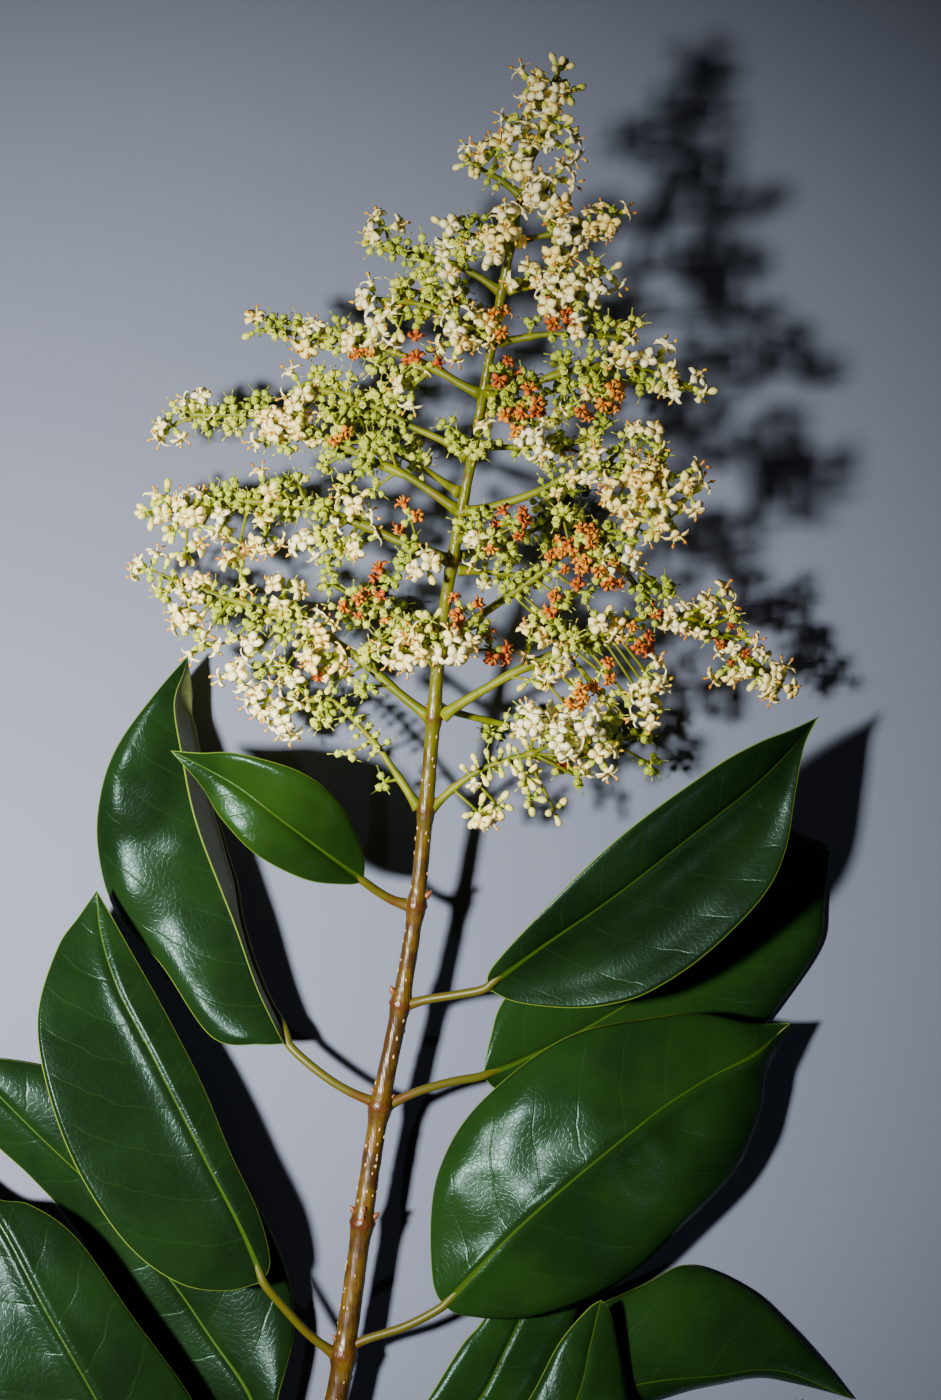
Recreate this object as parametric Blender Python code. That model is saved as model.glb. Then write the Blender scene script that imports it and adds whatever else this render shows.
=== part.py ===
"""A cut flowering branch of broad-leaved privet, lying down as it was laid on a table.

The branch lies along +Y, from the cut end of its stem to the tip of its flower head, and rests on z = 0 with its
own drooping leaves, the cut end and the lower flower branches. +X is to the right, seen from above.

Every place below is in millimetres, as seen from straight above on the plane that is VIEW_PLANE high, with x and y
counted from a point near the middle of the branch. The third number is the height above the surface. Something
nearer to the eye looks larger, so true_place() brings each place to where it really is.
"""

import math
from dataclasses import dataclass

import bmesh
import bpy
import numpy as np
from mathutils import Vector

MM = 0.001

# Driving dimensions
VIEW_HEIGHT = 1000.0  # the eye above the surface
VIEW_PLANE = 30.0  # the height at which the places are to scale
PLACE_OF_ORIGIN = (-17.1, -53.3)  # the part's origin, in the places' own x and y
CLEARANCE = 0.3  # between two pieces that grow from each other
LEAF_THICKNESS = 1.25
PETIOLE_WIDTH = 2.2
PETIOLE_THICKNESS = 2.0
LEAF_ROWS = 9
PETIOLE_ROWS = 3
STEM_SIDES = 10
LIMB_SIDES = 4
TWIG_SIDES = 3
TWIG_RADIUS = 0.55
LIMB_TIP_RADIUS = 0.55
SMALLEST_CLUSTER = 1.7
FEWEST_FLOWERS_RADIUS = 3.15  # smaller clusters have no solid of their own
SHRINK_STEPS = (1.0, 0.85, 0.7, 0.55)

# Colours are linear values
STEM_COLOUR = (0.235, 0.135, 0.035, 1.0)
LEAF_COLOUR = (0.016, 0.062, 0.010, 1.0)
FLOWER_COLOUR = (0.50, 0.50, 0.22, 1.0)

# The stem from the cut end to the start of the flower tip: x, y, height, radius
STEM_ROUTE = (
    (-50.0, -255.0, 3.25, 3.4),
    (-46.2, -235.0, 4.6, 3.4),
    (-39.5, -197.5, 7.6, 3.3),
    (-33.0, -172.0, 10.2, 3.1),
    (-27.0, -130.5, 12.8, 2.75),
    (-22.5, -101.2, 14.5, 2.6),
    (-17.5, -76.2, 16.0, 2.4),
    (-13.5, -51.2, 18.5, 2.2),
    (-11.2, -28.0, 21.5, 2.05),
    (-9.2, -4.0, 25.0, 1.9),
    (-7.5, 15.0, 29.0, 1.75),
    (-4.5, 35.0, 34.5, 1.5),
    (0.6, 62.0, 41.5, 1.3),
    (5.2, 88.0, 48.0, 1.2),
    (9.4, 110.0, 52.5, 1.15),
    (13.0, 128.0, 57.0, 1.0),
)


@dataclass(frozen=True)
class Leaf:
    """One leaf: its stalk from the stem to the blade, the midrib, and the two edges from base to tip."""

    stalk: tuple
    midrib: tuple
    left: tuple
    right: tuple


# Left and right are as seen when looking from the base to the tip, from above
LEAVES = {
    "leaf_upper_left": Leaf(
        stalk=((-22.5, -101.2, 14.5), (-31.0, -97.5, 15.0), (-38.5, -92.5, 14.5)),
        midrib=((-45.5, -86.0, 13.0), (-55.5, -64.0, 9.0), (-60.5, -42.0, 7.5), (-67.0, -18.0, 7.0),
                (-69.5, 0.0, 8.0), (-70.8, 11.0, 9.0)),
        left=((-53.0, -86.0, 14.0), (-65.0, -84.0, 12.5), (-77.5, -66.2, 8.0), (-89.0, -53.0, 5.0),
              (-93.5, -37.5, 5.0), (-92.5, -23.0, 7.5), (-88.0, -11.0, 9.0), (-79.0, 1.5, 9.5)),
        right=((-47.5, -85.0, 15.0), (-54.0, -71.0, 17.0), (-62.0, -50.0, 19.0), (-68.5, -33.0, 20.0),
               (-72.5, -17.0, 18.5), (-74.5, -1.5, 14.0), (-72.0, 7.0, 10.5)),
    ),
    "leaf_small_left": Leaf(
        stalk=((-15.0, -51.5, 18.3), (-19.5, -50.0, 19.0), (-23.0, -48.0, 20.0)),
        midrib=((-26.5, -45.5, 21.5), (-36.0, -38.5, 28.5), (-48.0, -29.5, 32.0), (-60.0, -20.5, 30.5),
                (-75.0, -12.6, 26.0)),
        left=((-31.0, -46.2, 25.0), (-41.2, -45.0, 30.0), (-53.5, -38.8, 31.5), (-62.5, -29.5, 30.0),
              (-67.5, -21.5, 28.0)),
        right=((-26.8, -38.0, 26.0), (-32.5, -26.0, 32.5), (-42.5, -18.0, 36.0), (-58.0, -13.4, 34.0),
               (-67.5, -13.2, 30.0)),
    ),
    "leaf_mid_left": Leaf(
        stalk=((-33.5, -163.8, 11.0), (-40.5, -158.5, 14.0), (-46.5, -152.0, 17.2)),
        midrib=((-51.8, -145.5, 19.8), (-57.5, -132.0, 21.4), (-65.0, -117.5, 21.0), (-72.0, -103.8, 19.8),
                (-80.0, -88.0, 18.0), (-88.0, -72.5, 15.6), (-92.3, -58.8, 13.2), (-93.5, -47.5, 11.8)),
        left=((-61.0, -147.8, 20.5), (-73.0, -145.8, 22.5), (-86.0, -136.0, 23.0), (-98.5, -117.0, 22.0),
              (-106.0, -96.5, 20.2), (-108.3, -78.8, 17.8), (-103.5, -62.2, 14.6), (-98.0, -54.0, 12.6)),
        right=((-50.0, -140.0, 19.6), (-53.0, -128.0, 20.6), (-60.0, -113.0, 20.0), (-66.8, -96.5, 18.6),
               (-75.8, -78.8, 16.4), (-85.8, -61.0, 13.8), (-91.5, -50.8, 12.2)),
    ),
    "leaf_low_left": Leaf(
        stalk=((-45.5, -236.0, 4.8), (-54.0, -232.5, 8.0), (-62.0, -227.5, 12.5)),
        midrib=((-68.0, -222.0, 16.5), (-78.5, -203.0, 19.5), (-93.5, -175.0, 19.0), (-106.5, -152.0, 16.8),
                (-117.0, -132.0, 13.5), (-127.5, -117.0, 9.5)),
        left=((-74.0, -223.0, 16.5), (-94.0, -213.0, 19.5), (-112.0, -190.0, 19.5), (-124.0, -160.0, 16.5),
              (-130.8, -135.0, 12.5)),
        right=((-65.0, -215.0, 15.5), (-64.0, -190.0, 17.0), (-69.5, -175.0, 17.3), (-84.5, -154.0, 16.6),
               (-98.5, -134.5, 14.8), (-110.0, -126.2, 13.0), (-118.5, -124.5, 11.5)),
    ),
    "leaf_behind_left": Leaf(
        stalk=((-39.5, -197.8, 7.6), (-43.0, -194.5, 8.2), (-46.5, -191.5, 8.9)),
        midrib=((-50.5, -188.5, 9.4), (-55.5, -173.5, 8.8), (-65.0, -159.5, 6.6), (-75.0, -145.0, 4.8),
                (-92.0, -124.5, 3.8), (-111.0, -106.0, 3.2), (-126.0, -90.5, 1.6)),
        left=((-58.0, -190.0, 4.5), (-74.0, -176.0, 2.5), (-92.5, -143.0, 0.6), (-101.5, -129.0, 0.4),
              (-110.5, -119.0, 0.3), (-122.0, -107.0, 0.5)),
        right=((-48.3, -175.0, 12.4), (-44.2, -155.0, 10.4), (-49.0, -135.0, 7.4), (-62.0, -115.0, 5.2),
               (-82.0, -97.0, 4.0), (-106.0, -91.5, 2.4), (-119.0, -89.5, 1.5)),
    ),
    "leaf_upper_right": Leaf(
        stalk=((-17.0, -76.5, 16.2), (-10.5, -74.8, 17.5), (-3.0, -73.6, 19.5)),
        midrib=((4.0, -72.0, 21.5), (17.5, -62.0, 25.5), (35.5, -49.5, 28.8), (53.5, -35.5, 30.0),
                (71.5, -21.0, 29.0), (80.5, -11.8, 27.0), (87.0, -4.0, 25.0)),
        left=((5.5, -66.5, 23.5), (17.5, -53.5, 30.0), (37.2, -34.5, 34.5), (59.0, -18.5, 35.5),
              (71.5, -11.2, 33.5), (79.5, -7.6, 29.5)),
        right=((11.0, -75.5, 21.8), (23.0, -77.2, 24.4), (33.8, -76.5, 26.6), (44.5, -73.2, 28.4),
               (58.5, -64.0, 29.6), (72.5, -50.0, 30.2), (78.8, -38.0, 29.6), (81.5, -22.0, 28.0),
               (83.5, -11.0, 26.0)),
    ),
    "leaf_behind_right": Leaf(
        stalk=((-22.0, -102.0, 14.3), (-13.5, -98.0, 14.6), (-5.0, -95.5, 14.0)),
        midrib=((3.0, -94.0, 13.0), (13.0, -90.0, 12.0), (30.0, -81.5, 10.5), (50.0, -69.0, 8.5),
                (72.0, -52.0, 6.0), (90.0, -37.6, 2.5)),
        left=((5.0, -84.5, 13.0), (9.0, -74.0, 12.0), (24.0, -57.0, 10.0), (48.0, -41.5, 8.0),
              (70.0, -35.5, 6.0), (81.0, -34.8, 4.0)),
        right=((8.0, -98.0, 10.5), (26.0, -101.5, 6.5), (50.0, -95.0, 4.5), (68.0, -86.5, 3.5),
               (79.5, -74.0, 2.8), (87.5, -61.0, 2.4), (88.8, -50.0, 2.2)),
    ),
    "leaf_mid_right": Leaf(
        stalk=((-33.0, -163.5, 11.0), (-26.5, -160.0, 11.8), (-16.0, -156.5, 13.0)),
        midrib=((-6.8, -151.5, 14.5), (2.2, -142.0, 18.2), (12.0, -132.0, 21.2), (23.0, -122.2, 23.4),
                (35.5, -111.8, 24.5), (47.2, -102.5, 23.6), (59.0, -94.8, 21.0), (71.5, -88.0, 17.0),
                (80.0, -80.8, 12.5)),
        left=((-9.5, -145.0, 14.2), (-10.2, -130.0, 14.0), (-8.0, -117.0, 14.2), (-1.0, -104.0, 15.5),
              (13.0, -91.0, 17.5), (27.0, -82.8, 18.5), (44.0, -79.5, 18.0), (58.0, -78.2, 16.2),
              (71.0, -80.8, 13.0)),
        right=((-1.0, -154.0, 14.0), (13.0, -155.0, 15.0), (27.0, -151.5, 15.5), (40.5, -144.5, 15.5),
               (53.5, -132.0, 15.0), (67.5, -117.0, 13.0), (73.5, -103.5, 11.5), (74.8, -93.0, 11.0)),
    ),
    "leaf_low_right": Leaf(
        stalk=((-43.0, -216.2, 6.0), (-33.0, -211.0, 5.4), (-24.0, -205.0, 5.0)),
        midrib=((-15.0, -199.0, 5.0), (4.0, -187.5, 5.2), (23.0, -177.5, 5.6), (43.0, -171.0, 6.2),
                (62.5, -169.0, 6.6), (71.5, -167.6, 6.4), (80.5, -168.6, 5.2), (95.8, -175.0, 1.2)),
        left=((-14.0, -191.0, 4.4), (1.0, -172.0, 4.0), (23.0, -156.0, 3.6), (43.5, -146.0, 3.4),
              (54.8, -141.2, 3.2), (69.5, -147.2, 3.2), (79.0, -156.0, 3.4), (88.0, -166.0, 3.0)),
        right=((-13.0, -203.5, 4.0), (7.0, -194.0, 1.8), (27.0, -183.0, 0.8), (45.0, -176.0, 0.5),
               (58.0, -172.0, 0.4), (71.0, -169.5, 0.4), (81.0, -171.0, 0.4), (90.0, -173.2, 0.5)),
    ),
    "leaf_under_right": Leaf(
        stalk=((-39.0, -198.0, 7.8), (-31.5, -194.5, 8.4), (-23.5, -191.5, 9.0)),
        midrib=((-16.2, -189.5, 9.4), (-6.0, -182.5, 9.8), (2.5, -174.5, 10.0), (9.5, -161.0, 10.2),
                (18.0, -144.0, 10.0), (28.0, -130.0, 9.4), (33.0, -118.0, 9.0)),
        left=((-16.0, -183.0, 10.0), (-10.5, -174.8, 10.6), (-2.2, -161.5, 10.8), (3.5, -154.5, 10.8),
              (12.0, -138.0, 10.6), (23.0, -123.5, 10.0)),
        right=((-10.0, -191.5, 7.6), (3.0, -189.5, 7.2), (14.0, -179.5, 7.4), (23.5, -162.0, 7.8),
               (30.0, -144.0, 8.2), (33.5, -129.0, 8.6)),
    ),
    "leaf_front_right": Leaf(
        stalk=((-45.5, -234.8, 4.8), (-36.0, -232.5, 8.0), (-26.0, -230.0, 11.0)),
        midrib=((-17.5, -227.5, 13.5), (0.0, -215.0, 15.0), (15.0, -197.5, 15.5), (26.5, -175.0, 14.5),
                (30.0, -161.0, 12.8), (32.5, -150.0, 11.4)),
        left=((-19.0, -220.0, 14.0), (-7.5, -200.0, 13.6), (5.0, -187.5, 13.0), (14.5, -174.8, 12.8),
              (22.0, -161.0, 13.2), (29.0, -152.5, 12.0)),
        right=((-9.0, -233.0, 12.0), (17.5, -225.0, 10.8), (35.0, -205.0, 10.4), (41.0, -187.5, 10.4),
               (39.5, -174.5, 10.6), (37.0, -161.5, 10.8), (34.8, -152.5, 11.0)),
    ),
    "leaf_lowest_right": Leaf(
        stalk=((-49.0, -249.0, 3.9), (-40.0, -249.0, 3.6), (-30.0, -247.0, 3.4)),
        midrib=((-22.0, -244.5, 3.2), (0.0, -230.0, 3.0), (32.5, -207.5, 2.8), (62.0, -187.5, 2.4),
                (81.5, -174.8, 2.6)),
        left=((-20.0, -238.5, 2.4), (-1.0, -216.0, 1.4), (30.0, -193.0, 0.4), (58.0, -182.5, 0.4),
              (76.0, -177.0, 1.4)),
        right=((-14.0, -247.5, 2.4), (14.0, -242.0, 1.6), (46.0, -218.0, 1.2), (70.0, -196.0, 0.5),
               (80.5, -181.5, 1.6)),
    ),
}


@dataclass(frozen=True)
class FlowerBranch:
    """One branch of the flower head: its route from the stem outward, its radius there, and its flower clusters."""

    route: tuple
    radius: float
    clusters: tuple
    from_stem_end: bool = False


# A cluster is x, y, height and the radius of the ball that its flowers fill
BRANCHES = {
    "flowers_low_left": FlowerBranch(
        ((-13.0, -27.0, 21.0), (-19.5, -17.0, 19.0), (-24.5, -10.2, 18.0), (-34.5, -0.2, 16.0), (-42.0, -0.5, 15.0)),
        1.0,
        ((-46.0, -4.0, 16.0, 4.5), (-51.0, 0.0, 15.0, 4.2), (-43.0, 3.0, 14.0, 3.5), (-37.5, -5.0, 14.0, 3.2),
         (-31.0, -13.5, 15.0, 2.4), (-21.5, -20.5, 17.0, 2.2), (-36.0, -2.0, 7.0, 3.5)),
    ),
    "flowers_low_right": FlowerBranch(
        ((-10.5, -28.0, 21.5), (-4.8, -22.5, 22.5), (1.5, -18.0, 24.5), (7.5, -15.5, 27.0), (17.0, -13.0, 31.0)),
        1.0,
        ((2.0, -28.0, 23.0, 4.0), (6.5, -26.0, 23.0, 3.0), (22.5, -10.0, 35.0, 5.0), (15.0, -6.0, 34.0, 4.0),
         (28.0, -5.0, 33.0, 3.4), (32.0, -14.5, 33.0, 3.6), (26.5, -19.0, 30.0, 3.4), (14.0, -19.0, 29.0, 4.0),
         (15.0, -24.5, 27.0, 3.2), (21.0, -27.5, 26.0, 2.6), (22.0, -16.0, 24.0, 4.0)),
    ),
    "flowers_second_left": FlowerBranch(
        ((-10.0, -4.5, 25.0), (-17.0, 1.0, 24.0), (-28.2, 10.5, 22.5), (-39.5, 18.5, 21.5), (-51.0, 22.5, 21.0),
         (-61.0, 25.5, 20.0), (-70.8, 28.8, 19.5), (-77.0, 31.0, 19.0)),
        1.2,
        ((-80.0, 32.5, 19.0, 3.8), (-76.0, 27.0, 18.0, 3.0), (-70.5, 23.5, 20.0, 3.8), (-70.0, 18.5, 20.0, 3.6),
         (-67.5, 14.5, 20.0, 3.2), (-62.0, 22.0, 19.0, 3.8), (-58.5, 15.5, 17.0, 3.0), (-54.0, 20.0, 22.0, 3.2),
         (-53.0, 12.5, 19.0, 3.2), (-57.5, 32.0, 21.0, 3.8), (-46.5, 27.5, 25.0, 4.2), (-45.0, 22.0, 25.0, 4.2),
         (-46.5, 16.5, 21.0, 3.2), (-52.0, 8.0, 17.0, 3.4), (-58.5, 6.5, 16.0, 3.0), (-46.0, 8.5, 16.0, 3.0),
         (-41.0, 15.0, 25.0, 3.2), (-36.0, 10.0, 24.0, 4.0), (-34.0, 5.0, 21.0, 3.0), (-25.0, 11.5, 28.0, 4.2),
         (-26.2, 3.2, 26.0, 4.0), (-50.0, 20.0, 12.0, 4.0), (-64.0, 25.0, 12.0, 3.5)),
    ),
    "flowers_second_right": FlowerBranch(
        ((-7.0, -4.0, 25.0), (-0.2, 0.5, 26.5), (11.2, 7.0, 29.5), (21.0, 11.5, 31.5), (30.0, 15.5, 33.0),
         (41.8, 20.2, 33.0), (52.0, 21.2, 31.5), (62.2, 16.5, 28.0), (70.0, 10.0, 25.0), (75.0, 6.5, 23.0)),
        1.2,
        ((77.5, 3.8, 22.0, 3.4), (72.0, 5.8, 23.0, 3.8), (64.5, 8.2, 23.0, 3.2), (67.5, 15.5, 27.0, 3.2),
         (65.0, 20.5, 27.0, 3.0), (61.2, 25.5, 30.0, 3.2), (57.0, 22.5, 31.0, 3.2), (15.0, 15.0, 33.0, 3.8),
         (20.0, 9.5, 33.0, 3.8), (15.0, 5.0, 31.0, 3.8), (26.2, 3.0, 32.0, 3.8), (23.8, -1.0, 31.0, 3.0),
         (32.5, 7.0, 31.0, 3.0), (33.8, 0.5, 28.0, 3.6), (38.8, 1.2, 29.0, 3.0), (43.8, 7.0, 33.0, 3.8),
         (44.8, 2.0, 32.0, 3.6), (45.0, -2.8, 31.0, 3.2), (41.5, 15.0, 33.0, 2.8), (32.5, 20.0, 36.0, 4.0),
         (25.0, 15.0, 35.0, 4.2), (36.0, -4.0, 26.0, 2.6), (30.0, 14.0, 24.0, 4.0), (55.0, 18.0, 25.0, 3.0)),
    ),
    "flowers_thick_right": FlowerBranch(
        ((-7.5, 13.8, 28.8), (4.0, 22.2, 33.0), (12.5, 28.0, 37.0), (19.5, 33.2, 40.0), (27.0, 39.5, 43.5),
         (33.0, 43.0, 45.0)),
        1.25,
        ((22.5, 25.5, 41.0, 4.4), (28.0, 27.0, 41.0, 3.4), (30.5, 35.0, 46.0, 3.8), (33.0, 31.0, 44.0, 3.4),
         (27.5, 40.0, 47.0, 3.0), (37.5, 35.0, 45.0, 4.0), (38.8, 40.0, 46.0, 3.4), (42.0, 42.8, 46.0, 3.0),
         (34.0, 42.0, 44.0, 3.6), (23.0, 46.0, 42.0, 4.0), (42.5, 28.0, 38.0, 4.0), (48.0, 28.0, 36.0, 3.8),
         (45.0, 23.8, 35.0, 2.8), (21.0, 19.0, 38.0, 3.2), (16.5, 21.0, 37.0, 3.0), (32.0, 36.0, 34.0, 4.0)),
    ),
    "flowers_short_left": FlowerBranch(
        ((-7.8, 13.0, 28.6), (-17.8, 20.5, 27.0), (-24.5, 23.8, 26.0), (-29.0, 25.5, 25.5)),
        0.9,
        ((-28.5, 25.5, 27.5, 3.2), (-32.5, 23.0, 25.0, 2.8), (-35.0, 29.0, 21.0, 3.6), (-27.0, 21.0, 19.0, 3.4)),
    ),
    "flowers_third_left": FlowerBranch(
        ((-4.6, 34.5, 34.3), (-9.0, 36.5, 33.4), (-17.5, 39.5, 32.0), (-25.0, 43.0, 30.5), (-37.5, 47.5, 28.0),
         (-47.2, 49.2, 26.0), (-57.0, 49.6, 24.0), (-67.5, 48.8, 22.5), (-75.0, 47.0, 21.5)),
        1.15,
        ((-79.5, 47.0, 21.0, 3.8), (-76.0, 50.5, 21.0, 3.0), (-73.8, 43.0, 20.0, 3.2), (-70.0, 47.5, 24.0, 3.6),
         (-66.8, 43.5, 22.0, 3.2), (-61.5, 44.0, 22.0, 3.2), (-63.8, 51.0, 22.0, 3.6), (-59.5, 53.0, 22.0, 3.0),
         (-56.0, 50.5, 24.0, 3.0), (-51.0, 46.5, 24.0, 3.4), (-51.2, 41.2, 23.0, 4.0), (-47.5, 53.0, 26.0, 4.0),
         (-43.0, 54.0, 24.0, 3.6), (-51.5, 53.5, 25.0, 2.6), (-36.2, 48.0, 30.0, 3.2), (-36.2, 41.0, 31.0, 4.4),
         (-31.5, 38.0, 29.0, 3.8), (-41.0, 39.0, 28.0, 3.0), (-30.0, 45.5, 32.0, 3.8), (-28.8, 49.5, 32.0, 3.0),
         (-26.5, 39.5, 31.0, 3.0), (-35.5, 34.0, 27.0, 3.6), (-57.5, 39.0, 18.0, 3.2), (-71.2, 37.0, 19.0, 3.4),
         (-15.0, 45.5, 35.0, 2.6), (-15.0, 39.0, 36.0, 3.0), (-16.2, 34.5, 35.0, 3.4), (-10.8, 33.0, 38.0, 3.6),
         (-20.0, 30.0, 34.0, 3.4), (-45.0, 47.0, 17.0, 4.0)),
    ),
    "flowers_third_right": FlowerBranch(
        ((-3.0, 32.5, 34.0), (5.8, 31.8, 34.5), (12.5, 31.0, 35.0)),
        0.9,
        ((15.5, 30.0, 34.0, 2.6), (9.0, 29.5, 31.0, 3.0)),
    ),
    "flowers_fourth_left": FlowerBranch(
        ((-3.2, 47.5, 37.6), (-10.0, 52.2, 36.0), (-16.2, 56.2, 34.5), (-23.8, 59.5, 32.5), (-30.0, 62.5, 30.5),
         (-38.2, 67.0, 28.0), (-46.0, 69.8, 26.0), (-56.0, 71.2, 23.5), (-66.0, 71.3, 21.5), (-71.5, 71.2, 20.5)),
        1.1,
        ((-74.5, 68.5, 20.0, 3.0), (-73.5, 72.5, 20.0, 3.0), (-67.5, 74.0, 22.0, 3.0), (-65.5, 69.0, 21.0, 3.0),
         (-59.5, 73.5, 22.0, 3.0), (-59.0, 68.5, 22.0, 3.0), (-52.0, 75.0, 23.0, 3.2), (-46.2, 69.0, 27.0, 3.6),
         (-50.0, 66.0, 25.0, 3.6), (-46.2, 63.5, 24.0, 3.0), (-36.0, 59.0, 28.0, 3.0), (-31.0, 54.0, 29.0, 3.6),
         (-24.5, 64.0, 36.0, 4.6), (-26.2, 58.5, 35.0, 4.0), (-20.5, 64.5, 36.0, 3.4), (-23.8, 53.0, 32.0, 2.8),
         (-40.0, 66.0, 18.0, 3.6)),
    ),
    "flowers_fourth_right": FlowerBranch(
        ((-3.5, 46.8, 37.4), (5.0, 48.2, 40.0), (12.5, 50.5, 43.0), (18.2, 52.8, 46.0), (24.8, 56.2, 49.0),
         (32.8, 58.8, 51.5), (42.0, 56.5, 53.0), (49.0, 53.0, 54.0)),
        1.2,
        ((32.5, 57.5, 56.0, 3.4), (38.8, 57.5, 56.5, 3.8), (44.5, 54.5, 56.5, 3.8), (52.5, 56.2, 56.0, 3.8),
         (55.0, 51.0, 55.0, 3.6), (48.0, 50.0, 57.0, 3.8), (38.0, 50.5, 55.0, 3.6), (43.8, 48.5, 56.0, 4.0),
         (50.0, 45.5, 54.0, 3.8), (45.5, 44.0, 53.0, 3.4), (37.0, 62.0, 53.0, 3.0), (43.8, 65.0, 53.0, 3.6),
         (39.8, 66.0, 51.0, 3.0), (46.5, 61.5, 52.0, 3.4), (46.0, 54.0, 45.0, 4.0)),
    ),
    "flowers_fifth_left": FlowerBranch(
        ((-0.8, 60.8, 41.0), (-7.2, 65.0, 39.5), (-15.0, 68.5, 37.5), (-21.5, 72.2, 35.5), (-30.0, 75.8, 33.0),
         (-38.0, 77.6, 31.0)),
        1.0,
        ((-42.5, 78.5, 30.0, 3.8), (-41.5, 73.0, 30.0, 3.6), (-38.0, 81.0, 30.0, 3.0), (-34.0, 79.8, 32.0, 3.2),
         (-35.0, 72.5, 31.0, 3.6), (-33.5, 68.8, 32.0, 2.8), (-30.0, 73.0, 34.0, 3.0), (-30.8, 79.5, 32.0, 2.8),
         (-22.5, 76.5, 37.0, 3.6), (-18.8, 75.0, 38.0, 3.0), (-28.0, 74.0, 25.0, 3.6)),
    ),
    "flowers_fifth_right": FlowerBranch(
        ((1.2, 63.2, 41.8), (8.0, 63.2, 43.0), (17.2, 63.0, 44.5), (25.0, 63.2, 46.0)),
        0.8,
        ((30.0, 65.5, 47.5, 3.4), (33.0, 68.5, 47.0, 2.8), (22.5, 65.0, 47.0, 2.4), (28.5, 61.5, 46.5, 2.6),
         (17.5, 59.5, 45.0, 2.0), (22.0, 64.5, 38.0, 3.2)),
    ),
    "flowers_sixth_left": FlowerBranch(
        ((2.5, 76.5, 45.0), (-2.5, 79.0, 44.0), (-8.2, 82.5, 42.5), (-13.8, 85.0, 41.0), (-18.8, 86.8, 40.0),
         (-25.0, 88.8, 38.5), (-33.0, 90.2, 36.5), (-42.5, 91.4, 34.0), (-50.0, 92.6, 32.5)),
        1.0,
        ((-53.0, 92.5, 32.0, 2.6), (-48.5, 94.2, 33.0, 3.6), (-42.0, 94.0, 33.0, 2.8), (-39.5, 90.0, 35.0, 3.2),
         (-35.0, 88.8, 36.0, 3.0), (-33.0, 93.8, 36.0, 2.4), (-27.5, 89.0, 38.0, 3.0), (-23.5, 84.0, 38.0, 3.4),
         (-17.5, 81.2, 40.0, 3.8), (-14.5, 78.2, 42.0, 3.4), (-12.2, 83.0, 43.0, 2.8), (-8.5, 86.5, 42.0, 2.8),
         (-26.0, 88.0, 30.0, 3.4)),
    ),
    "flowers_sixth_right": FlowerBranch(
        ((4.0, 77.5, 45.6), (10.0, 78.0, 47.0), (15.5, 79.2, 48.0), (24.0, 82.0, 50.0), (33.8, 83.6, 51.0),
         (42.5, 82.8, 51.5), (51.2, 79.8, 51.0)),
        1.0,
        ((57.5, 76.8, 50.0, 1.9), (54.5, 78.8, 51.0, 3.0), (48.5, 80.8, 53.0, 3.0), (46.2, 84.8, 53.0, 3.2),
         (42.5, 79.5, 50.0, 3.2), (30.0, 79.0, 52.0, 3.6), (33.8, 76.5, 52.0, 3.6), (26.8, 74.5, 51.0, 3.0),
         (23.8, 78.8, 50.0, 2.6), (23.0, 85.0, 50.0, 3.0), (30.0, 85.8, 52.0, 2.4), (33.8, 80.5, 43.0, 3.6)),
    ),
    "flowers_seventh_left": FlowerBranch(
        ((5.5, 90.0, 48.4), (-1.2, 93.6, 47.0), (-7.5, 97.0, 46.0), (-13.8, 99.2, 45.0), (-20.0, 100.2, 44.0)),
        0.9,
        ((-21.2, 96.2, 45.0, 3.8), (-25.5, 93.5, 44.0, 3.2), (-18.0, 93.0, 45.0, 3.2), (-23.8, 100.5, 44.0, 3.4),
         (-17.5, 103.0, 44.0, 3.0), (-13.4, 95.5, 47.0, 2.6), (-9.5, 101.5, 46.0, 2.8), (-17.0, 98.5, 37.0, 3.2)),
    ),
    "flowers_seventh_right": FlowerBranch(
        ((7.0, 89.4, 48.6), (12.5, 90.4, 49.5), (18.8, 91.4, 51.0), (26.2, 91.4, 52.0), (33.8, 91.0, 53.0),
         (39.0, 90.0, 53.0)),
        0.85,
        ((15.8, 94.0, 51.0, 2.2), (33.8, 93.6, 53.0, 2.4), (40.5, 93.5, 53.0, 3.2), (38.0, 88.0, 55.0, 3.2),
         (31.0, 95.0, 51.0, 2.6), (34.0, 91.5, 46.0, 3.0)),
    ),
    "flowers_eighth_left": FlowerBranch(
        ((7.4, 102.2, 51.0), (1.8, 106.0, 50.2), (-3.8, 108.8, 49.5), (-9.5, 110.5, 49.0), (-16.5, 111.7, 48.0),
         (-21.5, 112.8, 47.5)),
        0.85,
        ((-24.0, 114.0, 47.0, 3.6), (-18.8, 113.5, 49.0, 2.6), (-21.2, 117.8, 48.0, 2.8), (-12.0, 113.5, 50.0, 2.2),
         (-12.5, 107.5, 49.0, 2.2), (-7.0, 105.6, 50.0, 3.4), (-10.5, 103.8, 49.0, 2.6), (-1.2, 110.0, 51.0, 3.0),
         (-14.0, 110.5, 41.0, 3.0)),
    ),
    "flowers_eighth_right": FlowerBranch(
        ((9.6, 102.6, 51.2), (12.5, 103.2, 52.5), (17.0, 104.0, 54.0), (21.8, 104.5, 55.0), (28.5, 103.8, 56.0)),
        0.85,
        ((14.0, 105.2, 55.5, 3.2), (22.5, 108.8, 56.5, 3.6), (25.5, 104.8, 58.5, 3.4), (21.2, 100.2, 57.0, 3.6),
         (26.5, 99.8, 57.0, 3.4), (31.0, 102.0, 58.0, 3.4), (30.0, 108.0, 56.5, 3.6), (34.2, 107.0, 56.5, 3.0),
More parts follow.
